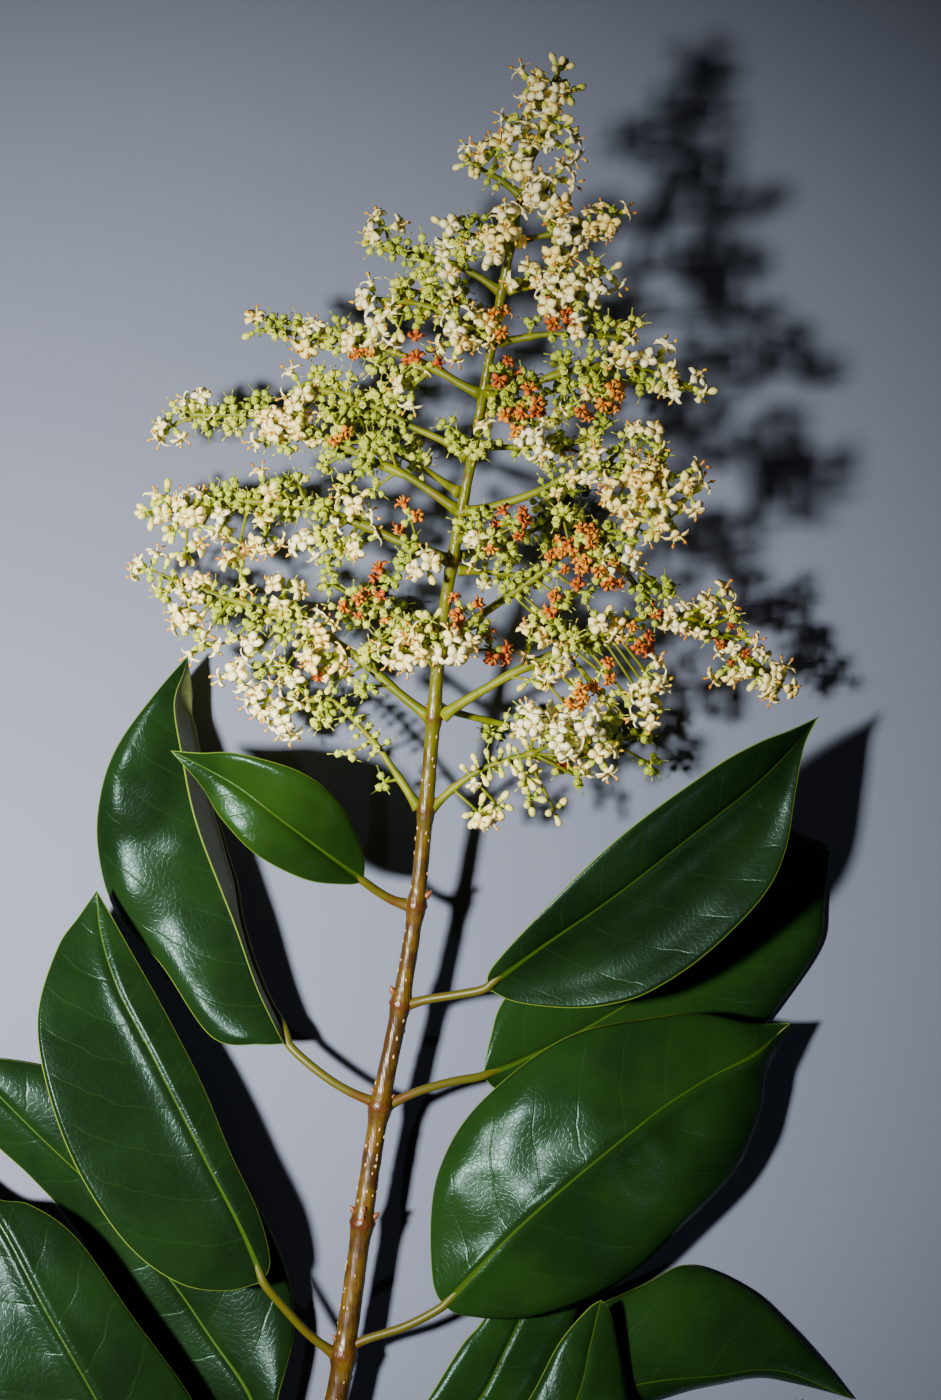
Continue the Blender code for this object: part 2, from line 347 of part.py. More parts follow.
         (22.5, 96.4, 55.0, 2.8), (30.0, 97.2, 54.0, 2.6), (24.0, 103.0, 48.0, 3.2)),
    ),
    "flowers_ninth_left": FlowerBranch(
        ((11.0, 116.0, 54.0), (3.5, 116.0, 53.4), (-2.0, 116.0, 53.0)),
        0.7,
        ((-1.2, 118.2, 54.0, 3.2), (-2.5, 113.4, 54.0, 3.2), (-6.0, 118.4, 54.0, 3.2), (2.4, 119.6, 53.0, 2.4)),
    ),
    "flowers_ninth_right": FlowerBranch(
        ((11.2, 114.6, 54.2), (18.8, 116.2, 56.0), (23.8, 117.6, 57.0), (30.0, 118.6, 58.0), (34.0, 119.6, 58.5)),
        0.7,
        ((35.2, 121.0, 59.0, 2.8), (25.0, 116.2, 59.0, 3.2), (20.8, 119.6, 57.5, 2.2), (22.0, 113.4, 57.0, 2.6),
         (28.0, 118.0, 52.0, 2.6)),
    ),
    "flowers_tenth_left": FlowerBranch(
        ((12.2, 126.4, 56.6), (7.5, 130.0, 57.0), (3.8, 132.0, 57.0), (1.0, 134.0, 57.0)),
        0.7,
        ((0.0, 134.4, 57.0, 3.4), (6.6, 136.2, 58.5, 3.6), (9.6, 133.2, 58.0, 2.2)),
    ),
    "flowers_tenth_right": FlowerBranch(
        ((12.8, 125.4, 56.4), (16.0, 125.8, 57.5), (19.0, 126.8, 59.0)),
        0.7,
        ((18.0, 126.4, 61.0, 3.4), (20.8, 124.6, 60.0, 3.2), (21.0, 130.4, 60.5, 3.2)),
    ),
    "flowers_tip": FlowerBranch(
        ((13.1, 128.5, 57.12), (15.0, 134.5, 58.0), (18.0, 142.5, 59.0), (19.0, 148.8, 60.0), (21.5, 156.0, 61.0)),
        0.8,
        ((13.8, 134.4, 61.0, 3.2), (12.5, 145.0, 61.0, 3.8), (13.0, 139.6, 61.0, 3.2), (18.8, 151.0, 61.5, 3.8),
         (15.0, 154.0, 61.0, 3.4), (22.0, 157.0, 61.0, 3.6), (24.0, 152.0, 61.0, 3.0), (20.4, 145.2, 61.0, 3.0),
         (23.4, 143.4, 61.0, 2.2), (23.0, 138.6, 60.0, 3.0), (16.5, 140.0, 54.0, 2.8)),
        from_stem_end=True,
    ),
    "flowers_front_low": FlowerBranch(
        ((-8.0, 10.5, 28.0), (-9.0, 12.0, 36.0), (-9.8, 14.5, 44.0)),
        0.9,
        ((-10.0, 15.0, 49.0, 4.8), (-14.5, 11.2, 47.0, 3.8), (-18.5, 12.8, 44.0, 3.4), (-5.4, 13.0, 48.0, 3.8),
         (-16.6, 17.0, 44.0, 3.2), (-9.6, 19.8, 47.0, 3.0), (-1.4, 15.4, 45.0, 3.4), (2.0, 18.4, 42.0, 3.4),
         (5.2, 12.6, 39.0, 3.0), (-1.8, 22.6, 43.0, 2.4)),
    ),
    "flowers_front_middle": FlowerBranch(
        ((-3.4, 40.0, 35.6), (0.0, 41.2, 39.0), (4.0, 41.6, 41.5)),
        0.8,
        ((9.2, 37.4, 40.5, 3.4), (10.4, 44.2, 42.5, 3.4), (5.4, 41.0, 43.5, 2.8), (2.0, 37.0, 41.5, 2.8),
         (2.2, 45.8, 42.5, 3.4), (-2.0, 43.6, 42.5, 2.6)),
    ),
    "flowers_front_high": FlowerBranch(
        ((1.0, 63.6, 41.9), (0.6, 64.4, 45.0), (0.2, 64.6, 48.0)),
        0.7,
        ((1.4, 62.6, 50.0, 3.2), (5.0, 64.6, 49.0, 2.8), (-3.6, 64.2, 49.0, 3.4), (-5.4, 68.4, 48.0, 3.0)),
    ),
    "flowers_front_hanging": FlowerBranch(
        ((3.4, 77.0, 45.4), (6.0, 76.0, 48.5), (10.5, 73.8, 51.5), (16.2, 68.4, 53.0), (19.5, 61.5, 53.0),
         (21.5, 57.0, 53.5)),
        0.9,
        ((7.5, 82.0, 53.0, 3.2), (8.8, 77.4, 53.0, 3.4), (6.4, 73.6, 51.5, 3.0), (11.8, 79.0, 53.0, 2.4),
         (14.6, 74.2, 54.5, 3.0), (12.0, 69.4, 54.0, 3.2), (15.4, 65.2, 54.5, 3.4), (19.8, 70.4, 53.0, 2.8)),
    ),
    "flowers_front_seventh": FlowerBranch(
        ((5.0, 90.4, 49.2), (3.0, 91.0, 51.5), (0.5, 92.0, 53.0)),
        0.7,
        ((-2.5, 94.0, 54.0, 4.0), (1.6, 92.6, 54.5, 3.2), (-3.8, 89.2, 53.0, 3.2), (6.4, 94.0, 54.0, 2.4)),
    ),
    "flowers_front_ninth": FlowerBranch(
        ((10.4, 114.0, 54.8), (9.4, 114.6, 57.0), (8.2, 115.0, 58.5)),
        0.7,
        ((7.5, 115.4, 61.0, 4.0), (4.2, 112.2, 60.0, 3.2), (9.2, 119.4, 60.0, 2.8)),
    ),
    "flowers_back_low_right": FlowerBranch(
        ((-9.0, -1.0, 24.6), (-4.0, -3.0, 18.0), (8.0, -6.0, 14.0), (25.0, -9.0, 13.0), (38.0, -11.0, 13.0)),
        1.0,
        ((42.5, -9.0, 13.0, 3.8), (45.0, -16.0, 12.0, 3.6), (30.0, -12.0, 9.0, 3.6), (14.0, -4.0, 8.5, 3.6),
         (22.0, -14.0, 4.1, 3.6), (34.0, -6.0, 4.1, 3.6), (5.0, -8.0, 6.0, 3.4)),
    ),
    "flowers_back_low_left": FlowerBranch(
        ((-8.6, 9.0, 26.4), (-12.0, 12.0, 18.0), (-17.0, 17.0, 12.0), (-24.0, 24.0, 8.0)),
        1.0,
        ((-26.0, 27.0, 6.0, 3.8), (-19.0, 23.0, 6.0, 3.6), (-22.0, 15.0, 7.0, 3.6), (-13.0, 19.0, 4.1, 3.6),
         (-29.0, 20.0, 4.1, 3.6)),
    ),
    "flowers_back_middle_right": FlowerBranch(
        ((-3.0, 36.0, 33.4), (4.0, 38.0, 25.0), (12.0, 41.0, 17.0), (22.0, 45.0, 11.0)),
        1.0,
        ((26.0, 46.0, 8.0, 3.8), (18.0, 49.0, 8.0, 3.6), (20.0, 39.0, 9.0, 3.6), (12.0, 44.0, 9.5, 3.6),
         (28.0, 40.0, 4.1, 3.6), (24.0, 52.0, 4.1, 3.6), (10.0, 36.0, 11.0, 3.2)),
    ),
    "flowers_back_middle_left": FlowerBranch(
        ((-3.0, 52.0, 38.2), (-9.0, 56.0, 29.0), (-17.0, 61.0, 20.0), (-27.0, 66.0, 12.0)),
        1.0,
        ((-31.0, 68.0, 9.0, 3.8), (-24.0, 70.0, 10.0, 3.6), (-26.0, 60.0, 9.0, 3.6), (-15.0, 64.0, 13.0, 3.6),
         (-34.0, 63.0, 4.1, 3.6), (-29.0, 74.0, 4.1, 3.6), (-12.5, 60.0, 24.0, 3.2)),
    ),
    "flowers_back_high_right": FlowerBranch(
        ((3.0, 72.0, 43.8), (9.0, 74.0, 34.0), (16.0, 76.0, 26.0), (25.0, 78.0, 20.0)),
        0.9,
        ((29.0, 79.0, 18.0, 3.6), (23.0, 83.0, 19.0, 3.4), (24.0, 73.0, 18.0, 3.4), (14.0, 80.0, 23.0, 3.2),
         (33.0, 73.0, 20.0, 3.2)),
    ),
    "flowers_back_high_left": FlowerBranch(
        ((6.6, 95.0, 49.2), (1.0, 98.0, 40.0), (-6.0, 100.0, 33.0), (-13.0, 102.0, 28.0)),
        0.8,
        ((-16.0, 103.0, 26.0, 3.4), (-11.0, 106.0, 27.0, 3.2), (-10.0, 98.0, 27.0, 3.2), (-3.0, 103.0, 32.0, 3.0)),
    ),
}


class Room:
    """The balls that each piece already fills, so that no other piece grows into them."""

    MOST_BALLS = 20000

    def __init__(self):
        self.owners = {}
        self.count = 0
        self.owner = np.zeros(self.MOST_BALLS, int)
        self.centre = np.zeros((self.MOST_BALLS, 3))
        self.radius = np.zeros(self.MOST_BALLS)

    def fill(self, owner, centre, radius):
        self.owner[self.count] = self.owners.setdefault(owner, len(self.owners))
        self.centre[self.count] = centre
        self.radius[self.count] = radius
        self.count += 1

    def is_free(self, owner, centre, radius):
        number = self.owners.setdefault(owner, len(self.owners))
        gaps = np.linalg.norm(self.centre[: self.count] - centre, axis=1) - self.radius[: self.count]
        return bool((gaps[self.owner[: self.count] != number] > radius + CLEARANCE).all())


def true_place(x, y, z):
    """Where something really is, in millimetres, that is seen at x, y and lies z above the surface."""
    scale = (VIEW_HEIGHT - z) / (VIEW_HEIGHT - VIEW_PLANE)
    return np.array((x * scale - PLACE_OF_ORIGIN[0], y * scale - PLACE_OF_ORIGIN[1], z))


def smooth_route(points, count):
    """Points at even spacing along a smooth curve through the given points, whatever their number of columns."""
    points = np.array(points, float)
    before = 2 * points[0] - points[1]
    after = 2 * points[-1] - points[-2]
    padded = np.vstack([before, points, after])
    curve = [points[0]]
    for i in range(1, len(padded) - 2):
        p0, p1, p2, p3 = padded[i - 1 : i + 3]
        for step in range(1, 9):
            t = step / 8
            curve.append(
                0.5 * (2 * p1 + (p2 - p0) * t + (2 * p0 - 5 * p1 + 4 * p2 - p3) * t**2 + (3 * p1 - p0 - 3 * p2 + p3) * t**3)
            )
    curve = np.array(curve)
    along = np.concatenate([[0], np.cumsum(np.linalg.norm(np.diff(curve[:, :3], axis=0), axis=1))])
    wanted = np.linspace(0, along[-1], count)
    return np.column_stack([np.interp(wanted, along, column) for column in curve.T])


def new_object(name, bm, colour, roughness, smooth_angle=math.radians(50)):
    """An object in the scene from the mesh in bm, with its own material."""
    bmesh.ops.triangulate(bm, faces=bm.faces[:])
    bmesh.ops.recalc_face_normals(bm, faces=bm.faces[:])
    mesh = bpy.data.meshes.new(name)
    bm.to_mesh(mesh)
    bm.free()
    mesh.shade_smooth()
    mesh.set_sharp_from_angle(angle=smooth_angle)
    material = bpy.data.materials.new(name)
    material.use_nodes = True
    surface = material.node_tree.nodes["Principled BSDF"]
    surface.inputs["Base Color"].default_value = colour
    surface.inputs["Roughness"].default_value = roughness
    surface.inputs["Metallic"].default_value = 0.0
    mesh.materials.append(material)
    obj = bpy.data.objects.new(name, mesh)
    bpy.context.scene.collection.objects.link(obj)
    return obj


def across(direction):
    """Two directions at right angles to this one and to each other."""
    direction = Vector(direction).normalized()
    side = direction.cross(Vector((0, 0, 1)))
    if side.length < 0.1:
        side = direction.cross(Vector((1, 0, 0)))
    side.normalize()
    return side, side.cross(direction).normalized()


def add_tube(bm, points, radii, sides):
    """A closed tube through the points, in millimetres, with a radius at each."""
    rings = []
    for i, (point, radius) in enumerate(zip(points, radii)):
        ahead = points[min(i + 1, len(points) - 1)] - points[max(i - 1, 0)]
        side, up = across(ahead)
        ring = []
        for k in range(sides):
            angle = math.tau * k / sides
            spot = Vector(point) + (side * math.cos(angle) + up * math.sin(angle)) * radius
            ring.append(bm.verts.new(spot * MM))
        rings.append(ring)
    for ring, following in zip(rings, rings[1:]):
        for k in range(sides):
            bm.faces.new((ring[k], ring[(k + 1) % sides], following[(k + 1) % sides], following[k]))
    bm.faces.new(rings[0][::-1])
    bm.faces.new(rings[-1])


def add_cluster(bm, centre, radius, turn):
    """A cluster of flowers as an eight-sided ball, turned about its upright axis."""
    reach = radius * 1.15
    belt = []
    for k in range(4):
        angle = turn + math.tau * k / 4
        spot = Vector(centre) + Vector((math.cos(angle), math.sin(angle), 0.0)) * reach
        belt.append(bm.verts.new(spot * MM))
    top = bm.verts.new((Vector(centre) + Vector((0, 0, reach))) * MM)
    low = bm.verts.new((Vector(centre) - Vector((0, 0, min(reach, centre[2])))) * MM)
    for k in range(4):
        bm.faces.new((belt[k], belt[(k + 1) % 4], top))
        bm.faces.new((belt[(k + 1) % 4], belt[k], low))


def clear_of_stem(route, radius):
    """The part of a route that is outside the stem, with only the clearance between the two."""
    stem = smooth_route([(*true_place(*p[:3]), p[3]) for p in STEM_ROUTE], 400)
    stem_ahead = np.gradient(stem[:, :3], axis=0)
    stem_ahead /= np.linalg.norm(stem_ahead, axis=1, keepdims=True)
    route = smooth_route(route, 400)
    ahead = np.gradient(route, axis=0)
    ahead /= np.linalg.norm(ahead, axis=1, keepdims=True)
    for i, point in enumerate(route):
        gaps = np.linalg.norm(stem[:, :3] - point, axis=1) - stem[:, 3]
        nearest = gaps.argmin()
        corner = radius * abs(float(ahead[i] @ stem_ahead[nearest]))
        if gaps[nearest] > CLEARANCE + corner:
            return route[i:]
    return route


def build_stem(room):
    """The stem from its cut end to the start of the flower tip."""
    placed = [(*true_place(*p[:3]), p[3]) for p in STEM_ROUTE]
    route = smooth_route(placed, 26)
    for point in smooth_route(placed, 160):
        room.fill("stem", point[:3], point[3])
    bm = bmesh.new()
    add_tube(bm, route[:, :3], route[:, 3], STEM_SIDES)
    new_object("stem", bm, STEM_COLOUR, 0.35)


def blade_rows(leaf):
    """The leaf's cross rows from the stem outward: five points each, from the left edge to the right edge."""
    stalk = np.array([true_place(*p) for p in leaf.stalk])
    middle = np.array([true_place(*p) for p in leaf.midrib])
    left = np.array([middle[0], *[true_place(*p) for p in leaf.left], middle[-1]])
    right = np.array([middle[0], *[true_place(*p) for p in leaf.right], middle[-1]])
    stalk = clear_of_stem(np.vstack([stalk, middle[:1]]), PETIOLE_WIDTH / 2)
    stalk = smooth_route(stalk[::20], PETIOLE_ROWS + 1)[:-1]
    rows = []
    for i, point in enumerate(stalk):
        ahead = (stalk[i + 1] if i + 1 < len(stalk) else middle[0]) - point
        side = np.array((ahead[1], -ahead[0], 0.0))
        side *= PETIOLE_WIDTH / 2 / np.linalg.norm(side)
        rows.append([point + side * part for part in (-1.0, -0.6, 0.0, 0.6, 1.0)])
    spine = smooth_route(middle, LEAF_ROWS + 1)
    lefts = smooth_route(left, LEAF_ROWS + 1)
    rights = smooth_route(right, LEAF_ROWS + 1)
    for i, point in enumerate(spine):
        edge_left, edge_right = lefts[i], rights[i]
        if i in (0, LEAF_ROWS):
            ahead = spine[min(i + 1, LEAF_ROWS)] - spine[max(i - 1, 0)]
            side = np.array((ahead[1], -ahead[0], 0.0))
            side *= (PETIOLE_WIDTH / 2 if i == 0 else 0.5) / np.linalg.norm(side)
            edge_left, edge_right = point - side, point + side
        rows.append([edge_left, (edge_left + point) / 2, point, (edge_right + point) / 2, edge_right])
    return np.array(rows)


def build_leaf(name, leaf, room):
    """A leaf with its stalk as one solid, laid on the surface wherever it would sink below it."""
    rows = blade_rows(leaf)
    along = np.gradient(rows, axis=0)
    side = np.gradient(rows, axis=1)
    up = np.cross(side, along)
    up /= np.linalg.norm(up, axis=2, keepdims=True)
    thick = np.full(rows.shape[:2], LEAF_THICKNESS)
    thick[: PETIOLE_ROWS + 1] = PETIOLE_THICKNESS
    thick[:, (0, -1)] *= 0.7
    top = rows + up * thick[..., None] / 2
    low = rows - up * thick[..., None] / 2
    below = np.minimum(np.minimum(low[..., 2], top[..., 2]), 0.0)
    top[..., 2] -= below
    low[..., 2] -= below
    for row in rows[PETIOLE_ROWS:]:
        for a, b in zip(row, row[1:]):
            for t in (0.0, 0.33, 0.67, 1.0):
                room.fill(name, a * (1 - t) + b * t, 1.5)
    bm = bmesh.new()
    tops = [[bm.verts.new(p * MM) for p in row] for row in top]
    lows = [[bm.verts.new(p * MM) for p in row] for row in low]
    for i in range(len(rows) - 1):
        for k in range(4):
            bm.faces.new((tops[i][k], tops[i][k + 1], tops[i + 1][k + 1], tops[i + 1][k]))
            bm.faces.new((lows[i][k + 1], lows[i][k], lows[i + 1][k], lows[i + 1][k + 1]))
        bm.faces.new((lows[i][0], tops[i][0], tops[i + 1][0], lows[i + 1][0]))
        bm.faces.new((tops[i][4], lows[i][4], lows[i + 1][4], tops[i + 1][4]))
    for i, flip in ((0, False), (len(rows) - 1, True)):
        for k in range(4):
            ring = (tops[i][k + 1], tops[i][k], lows[i][k], lows[i][k + 1])
            bm.faces.new(ring[::-1] if flip else ring)
    new_object(name, bm, LEAF_COLOUR, 0.3)


def limb_of(branch):
    """The limb's points clear of the stem, in true places, with a radius at each."""
    route = [true_place(*p) for p in branch.route]
    if not branch.from_stem_end:
        route = clear_of_stem(route, branch.radius)[::8]
    route = smooth_route(route, 60)
    radii = np.linspace(branch.radius, LIMB_TIP_RADIUS, len(route))
    return route, radii


def build_flowers(name, branch, limb, room, turn):
    """A branch of the flower head: its limb, a twig to each cluster, and the cluster, fused into one solid."""
    route, radii = limb
    bodies = bpy.data.collections.new(name + "_bodies")
    bpy.context.scene.collection.children.link(bodies)

    def put_aside(bm):
        bmesh.ops.recalc_face_normals(bm, faces=bm.faces[:])
        mesh = bpy.data.meshes.new(name + "_body")
        bm.to_mesh(mesh)
        bm.free()
        bodies.objects.link(bpy.data.objects.new(name + "_body", mesh))

    for number, (x, y, z, radius) in enumerate(branch.clusters):
        if radius < FEWEST_FLOWERS_RADIUS:
            continue
        centre = true_place(x, y, z)
        centre[2] = max(centre[2], 2.0)
        spans = np.linalg.norm(route - centre, axis=1)
        nearest = max(int(spans.argmin()) - 3, 1)
        root = route[nearest]
        twig = [root * (1 - t) + centre * t for t in np.linspace(0, 1, 12)]
        if not all(room.is_free(name, p, TWIG_RADIUS) for p in twig[2:]):
            continue
        sizes = [radius * share for share in SHRINK_STEPS if radius * share >= SMALLEST_CLUSTER]
        size = next((s for s in sizes if room.is_free(name, centre, s * 1.15)), None)
        if size is None:
            continue
        room.fill(name, centre, size * 1.15)
        for p in twig[2:]:
            room.fill(name, p, TWIG_RADIUS)
        bm = bmesh.new()
        add_cluster(bm, centre, size, turn + number * 0.7)
        put_aside(bm)
        if spans.min() > size * 0.8:
            bm = bmesh.new()
            add_tube(bm, [root, centre], [TWIG_RADIUS, TWIG_RADIUS], TWIG_SIDES)
            put_aside(bm)

    shown = smooth_route(np.column_stack([route, radii]), max(4, len(branch.route)))
    bm = bmesh.new()
    add_tube(bm, shown[:, :3], shown[:, 3], LIMB_SIDES)
    obj = new_object(name, bm, FLOWER_COLOUR, 0.6)
    union = obj.modifiers.new("union", "BOOLEAN")
    union.operand_type = "COLLECTION"
    union.collection = bodies
    union.operation = "UNION"
    union.solver = "EXACT"
    graph = bpy.context.evaluated_depsgraph_get()
    fused = bpy.data.meshes.new_from_object(obj.evaluated_get(graph))
    obj.modifiers.clear()
    obj.data = fused
    for body in list(bodies.objects):
        bpy.data.objects.remove(body, do_unlink=True)
    bpy.data.collections.remove(bodies)
    keep_largest_body(obj)


def keep_largest_body(obj):
    """Drops scraps that touch nothing, so that the solid is one body."""
    bm = bmesh.new()
    bm.from_mesh(obj.data)
    left = set(bm.faces)
    bodies = []
    while left:
        body = {left.pop()}
        edge = list(body)
        while edge:
            face = edge.pop()
            for near in (f for e in face.edges for f in e.link_faces):
                if near in left:
                    left.remove(near)
                    body.add(near)
                    edge.append(near)
        bodies.append(body)
    bodies.sort(key=len, reverse=True)
    for body in bodies[1:]:
        bmesh.ops.delete(bm, geom=list(body), context="FACES")
    bmesh.ops.delete(bm, geom=[v for v in bm.verts if not v.link_faces], context="VERTS")
    bm.to_mesh(obj.data)
    bm.free()


def main():
    for obj in list(bpy.data.objects):
        bpy.data.objects.remove(obj, do_unlink=True)
    room = Room()
    build_stem(room)
    for name, leaf in LEAVES.items():
        build_leaf(name, leaf, room)
    limbs = {name: limb_of(branch) for name, branch in BRANCHES.items()}
    for name, (route, radii) in limbs.items():
        for point, radius in zip(route[::2], radii[::2]):
            room.fill(name, point, radius)
    for number, (name, branch) in enumerate(BRANCHES.items()):
        build_flowers(name, branch, limbs[name], room, number * 0.4)


main()
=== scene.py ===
"""The looks of a cut flowering privet branch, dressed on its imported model.

The branch lies on a table and is seen from straight above: a brown stem that turns yellow-green, large glossy
leaves, and a cone of small cream flowers, green cups with their styles, buds and a few rust-coloured petals.

Places are in millimetres on the plane that is VIEW_PLANE high, counted from a point near the middle of the
branch, with the height above the table as the third number. true_place() turns them into places in the part's
own frame.
"""

import logging
import math
from collections.abc import Callable
from dataclasses import dataclass, field
from enum import Enum
from functools import partial

import bmesh
import bpy
import numpy as np
from mathutils import Euler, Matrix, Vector, noise


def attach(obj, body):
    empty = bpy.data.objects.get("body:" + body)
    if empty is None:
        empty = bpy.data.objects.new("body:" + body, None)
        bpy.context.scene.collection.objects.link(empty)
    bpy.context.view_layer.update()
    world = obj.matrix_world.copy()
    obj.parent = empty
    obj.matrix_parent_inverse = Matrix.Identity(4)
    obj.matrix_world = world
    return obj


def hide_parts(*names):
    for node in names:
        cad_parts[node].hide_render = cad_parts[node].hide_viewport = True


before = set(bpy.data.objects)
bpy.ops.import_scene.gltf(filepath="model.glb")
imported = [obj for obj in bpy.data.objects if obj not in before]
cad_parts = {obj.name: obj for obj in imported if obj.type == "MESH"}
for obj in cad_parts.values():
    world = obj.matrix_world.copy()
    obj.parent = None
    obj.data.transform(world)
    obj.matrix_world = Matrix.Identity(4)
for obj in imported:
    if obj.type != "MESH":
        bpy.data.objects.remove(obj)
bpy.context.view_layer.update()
LOG = logging.getLogger("privet")

# How a shape is drawn: a function of the bmesh, and the values that it is given
Draw = tuple[Callable, ...]

# Driving sizes
MM = 0.001
VIEW_HEIGHT = 1000.0
VIEW_PLANE = 30.0
PLACE_OF_ORIGIN = (-17.1, -53.3)
VIEW_TALL = 350.0  # how much of the branch the picture's height takes in, on the view plane
SENSOR = 36.0
SEED = 7
STEEP = 0.05  # a direction whose level part is shorter than this counts as upright
NO_GAP = 0.0001  # points closer together than this are one
LOWEST_FLOWER = 1.2
LEVEL_BELOW = 5.0  # flowers lower than this turn away from the table

# The stem from the cut end to the start of the flower tip: x, y, height, radius
STEM_ROUTE = (
    (-50, -255, 3.25, 3.4),
    (-46.2, -235, 4.6, 3.4),
    (-39.5, -197.5, 7.6, 3.3),
    (-33, -172, 10.2, 3.1),
    (-27, -130.5, 12.8, 2.75),
    (-22.5, -101.2, 14.5, 2.6),
    (-17.5, -76.2, 16, 2.4),
    (-13.5, -51.2, 18.5, 2.2),
    (-11.2, -28, 21.5, 2.05),
    (-9.2, -4, 25, 1.9),
    (-7.5, 15, 29, 1.75),
    (-4.5, 35, 34.5, 1.5),
    (0.6, 62, 41.5, 1.3),
    (5.2, 88, 48, 1.2),
    (9.4, 110, 52.5, 1.15),
    (13, 128, 57, 1),
)

# Where the stem's leaf pairs and flower branches leave it, as the place's y, and how much it swells there
STEM_NODES = (
    (-249, 0.45), (-235, 0.5), (-216, 0.4), (-197.5, 0.5), (-163.5, 0.6), (-130.5, 0.55), (-101.5, 0.65),
    (-76.2, 0.5), (-51.3, 0.5), (-27.5, 0.4), (-4, 0.45), (13.5, 0.3), (34.8, 0.35), (47.3, 0.2), (61, 0.25),
    (76.8, 0.2), (89.8, 0.25), (102.4, 0.2), (115.5, 0.2), (126, 0.15),
)

# Buds and scars in the leaf angles: place's y, side of the stem (-1 left, 1 right, 0 top), length
STEM_BUDS = (
    (-49.5, 1, 3.2), (-51, -1, 1.8), (-74.5, -1, 3), (-76, 1, 1.8), (-99, -1, 2.2), (-99.5, 1, 2.2),
    (-128.5, -1, 2.8), (-129.5, 1, 3.2), (-131, 0, 2.6), (-131.5, 1, 2.4), (-127.5, 0, 2.2), (-161, -1, 2.4),
    (-161.5, 1, 2.2), (-195, 1, 2.4), (-233, -1, 2.4), (-25.5, 1, 1.6), (-2.5, -1, 1.6),
)


@dataclass(frozen=True)
class LeafShape:
    """One leaf: its stalk from the stem to the blade, the midrib, and the two edges from base to tip."""

    stalk: tuple
    midrib: tuple
    left: tuple
    right: tuple


